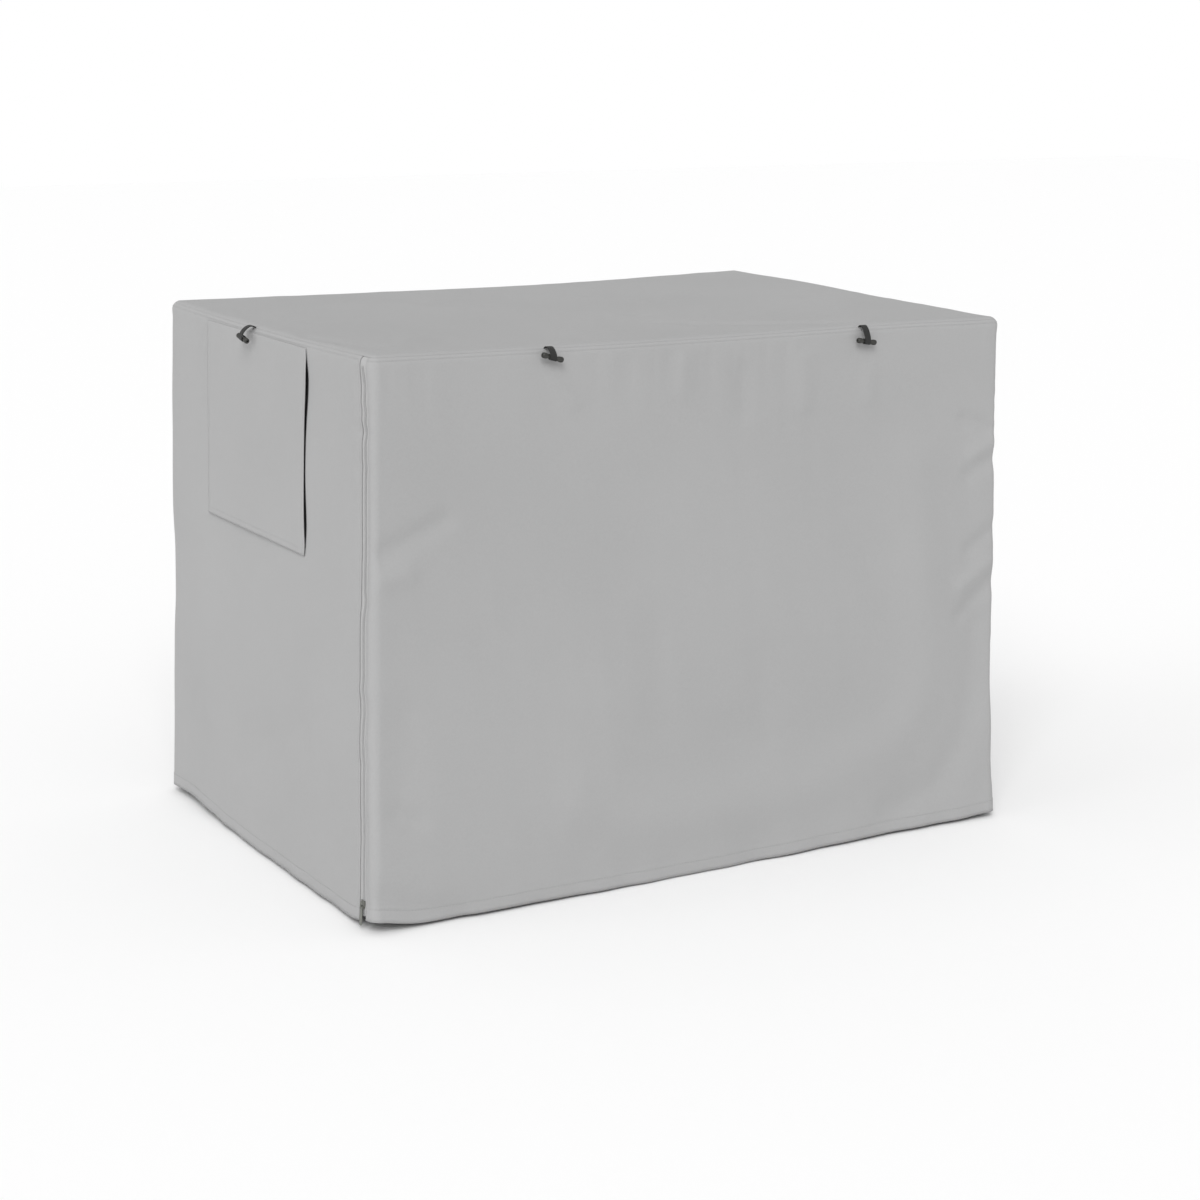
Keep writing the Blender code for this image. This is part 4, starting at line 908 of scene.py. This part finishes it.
# the ribbon: out of the seam along the cloth's normal, a cubic curve over and down in front of the bar,
# then a circle round its neck; its section is a rounded flat strip
def ribbonSurface(drop, standoff):
    centre = np.array([turn + standoff, turn - drop])
    wrap = toggle["neck"] + toggle["gap"] + toggle["ribbon"][1] / 2
    leave = np.array([cos(seam), sin(seam)])
    root, meet = leave * (turn + toggle["rootLift"]), centre + np.array([wrap, 0.0])
    pull = toggle["arch"] * np.linalg.norm(meet - root)
    t = np.linspace(0, 1, toggle["archSteps"] + 1)[:-1, None]
    handles = (root, root + leave * pull, meet + np.array([0.0, pull]), meet)
    weights = ((1 - t) ** 3, 3 * t * (1 - t) ** 2, 3 * t * t * (1 - t), t ** 3)
    angles = np.radians(np.linspace(0, -toggle["wrap"], toggle["wrapSteps"]))[:, None]
    ring = centre + wrap * np.concatenate([np.cos(angles), np.sin(angles)], axis=1)
    return np.concatenate([sum(w * h for w, h in zip(weights, handles)), ring])


toggles = []
for name, sideName, place, drop, standoff, tilt in toggle["list"]:
    heading = radians(180.0 if sideName == "left" else -90.0)
    origin = np.array([-halfTop[0], place]) if sideName == "left" else np.array([place, -halfTop[1]])
    level = float(crestHeight(*origin)) - turn
    outWay, upWay = np.array([cos(heading), sin(heading), 0.0]), np.array([0.0, 0.0, 1.0])
    acrossWay = np.cross(upWay, outWay)
    base = np.array([*origin, level])
    path = ribbonSurface(drop, standoff)
    ahead = unit(np.gradient(path, axis=0))
    across2 = np.stack([-ahead[:, 1], ahead[:, 0]], axis=1)
    lean = softStep(np.arange(len(path)) / toggle["archSteps"]) * tan(radians(tilt))
    width, thick = toggle["ribbon"]
    # rounded flat section: quarter rounds at both selvedges, walked once round
    steps = np.linspace(0, pi, 7)
    reach, bulge = (width - thick) / 2, thick / 2 * np.sin(steps)
    sectionA = np.concatenate([reach + bulge, -reach - bulge])
    sectionB = np.concatenate([thick / 2 * np.cos(steps), -thick / 2 * np.cos(steps)])
    sectionA, sectionB = np.append(sectionA, sectionA[0]), np.append(sectionB, sectionB[0])
    flat = path[:, None, :] + across2[:, None, :] * sectionB[None, :, None]
    points = (base + outWay * flat[..., :1] + acrossWay * sectionA[None, :, None]
              + upWay * (flat[..., 1:] + (sectionA[None, :] * lean[:, None])[..., None]))
    ribbon = gridPiece("toggleRibbon_" + name, points[:, ::-1], finishes["ribbon"])[0]
    fit(ribbon, "toggle_tab_" + name)
    profile = np.array([(-a, r) for a, r in toggle["bar"][:0:-1]] + toggle["bar"])
    turnAngles = 2 * pi * np.arange(toggle["barSides"] + 1) / toggle["barSides"]
    a, r = profile[:, 0][:, None], profile[:, 1][:, None]
    lift, c, s = r * np.sin(turnAngles), cos(radians(tilt)), sin(radians(tilt))
    middle = (turn + standoff, turn - drop)
    points = (base + outWay * (middle[0] + r * np.cos(turnAngles))[..., None]
              + acrossWay * (a * c - lift * s)[..., None]
              + upWay * (middle[1] + a * s + lift * c)[..., None])
    bar = gridPiece("toggleBar_" + name, points, finishes["bar"])[0]
    fit(bar, "toggle_bar_" + name)
    toggles += [ribbon, bar]
print("toggles tied")

here, way, up = [np.concatenate(parts) for parts in zip(*sewnLines)]
stitchSize = [sewing[key] for key in ("length", "width", "tall")]
stitches = barCloud("stitches", here + up * sewing["proud"], way, up, stitchSize, finishes["thread"],
                    corners=5)
fit(stitches, None)
print("sewn:", len(here), "stitches")

for piece, node in ((frontPiece, "front_panel"), (backPiece, "back_panel"), (leftPiece, "left_panel"),
                    (rightPiece, "right_panel"), (topPiece, "top_panel"), (flapPiece, "window_flap")):
    fit(piece, node)
fit(netPiece, "window_mesh")
for name, (tape, tapeCloth, coil) in zips.items():
    fit(tape, "zip_" + name.lower())
    fit(coil, None)


# the cut a hung grid came from: its longest row and column, and its cells' area added up
def declareSheet(piece, cloth, kept=None):
    points = cloth["points"]
    rowLengths = np.linalg.norm(np.diff(points, axis=1), axis=-1).sum(axis=1)
    columnLengths = np.linalg.norm(np.diff(points, axis=0), axis=-1).sum(axis=0)
    sides = points[1:, :-1] - points[:-1, :-1], points[:-1, 1:] - points[:-1, :-1]
    cells = np.linalg.norm(np.cross(*sides), axis=-1)
    area = float(cells[kept].sum() if kept is not None else cells.sum())
    flat = (float(rowLengths.max()), float(columnLengths.max()))
    area = min(area, flat[0] * flat[1])
    print(piece.name, "cut", [round(size, 3) for size in flat], "area", round(area, 4))


declareSheet(topPiece, topCloth)
declareSheet(frontPiece, frontCloth)
declareSheet(backPiece, backCloth)
declareSheet(rightPiece, rightCloth)
declareSheet(leftPiece, leftCloth, kept=kept)
declareSheet(flapPiece, flapCloth)
declareSheet(netPiece, netCloth)
for tape, tapeCloth, coil in zips.values():
    declareSheet(tape, tapeCloth)


# unit vectors to the right, up and back from a view at an azimuth from -Y towards +X and an elevation
def viewAxes(azimuth, elevation):
    a, e = radians(azimuth), radians(elevation)
    back = np.array([sin(a) * cos(e), -cos(a) * cos(e), sin(e)])
    right = unit(np.cross([0, 0, 1.0], back))
    return right, np.cross(back, right), back


def standAt(thing, right, upward, back, place):
    columns = np.stack([right, upward, back, place], axis=1)
    thing.matrix_world = Matrix([*columns.tolist(), [0, 0, 0, 1]])


# Floor, light and camera
stage = {
    "floor": -0.7738, "size": 14.0, "colour": (0.95, 0.95, 0.95), "sky": 0.66,
    # azimuth, elevation and breadth of the source in degrees, strength
    "suns": {"keyLight": (-34, 39, 34, 1.78), "sideLight": (-100, 16, 40, 0.42)},
}
half, level = stage["size"], stage["floor"]
mesh = bpy.data.meshes.new("floor")
corners = [(-half, -half, level), (half, -half, level), (half, half, level), (-half, half, level)]
mesh.from_pydata(corners, [], [(0, 1, 2, 3)])
mesh.materials.append(newMaterial("paleFloor", stage["colour"], 0.95, Specular_IOR_Level=0.1)[0])
newObject("floor", mesh)
world = bpy.data.worlds.new("studio")
world.use_nodes = True
backdrop = world.node_tree.nodes["Background"]
backdrop.inputs["Color"].default_value = (1, 1, 1, 1)
# the room seen behind the floor is white, and a little dimmer as a light
seen = addNode(world.node_tree, "ShaderNodeLightPath")
glow = spread(world.node_tree, seen.outputs["Is Camera Ray"], 0.0, 1.0, stage["sky"], 1.0)
world.node_tree.links.new(glow, backdrop.inputs["Strength"])
scene.world = world
for name, (azimuth, elevation, breadth, strength) in stage["suns"].items():
    light = bpy.data.lights.new(name, "SUN")
    light.energy, light.angle = strength, radians(breadth)
    right, upward, back = viewAxes(azimuth, elevation)
    standAt(newObject(name, light), right, upward, back, back * 6)

view = {
    "azimuth": -30.58, "elevation": 13.36, "roll": 0.49, "distance": 3.799, "right": 0.0324, "up": -0.0629,
    "focalPixels": 2463, "imagePixels": 1200, "sensor": 36.0,
}
right, upward, back = viewAxes(view["azimuth"], view["elevation"])
r = radians(view["roll"])
right, upward = cos(r) * right + sin(r) * upward, -sin(r) * right + cos(r) * upward
middle = np.array([0, 0, hemLevel + height / 2])
eye = middle + right * view["right"] + upward * view["up"] + back * view["distance"]
lens = bpy.data.cameras.new("camera")
lens.lens = view["focalPixels"] / view["imagePixels"] * view["sensor"]
lens.sensor_width, lens.clip_end = view["sensor"], 60.0
camera = newObject("camera", lens)
standAt(camera, right, upward, back, eye)
scene.camera = camera
scene.view_settings.view_transform = "Standard"
print("stage set")
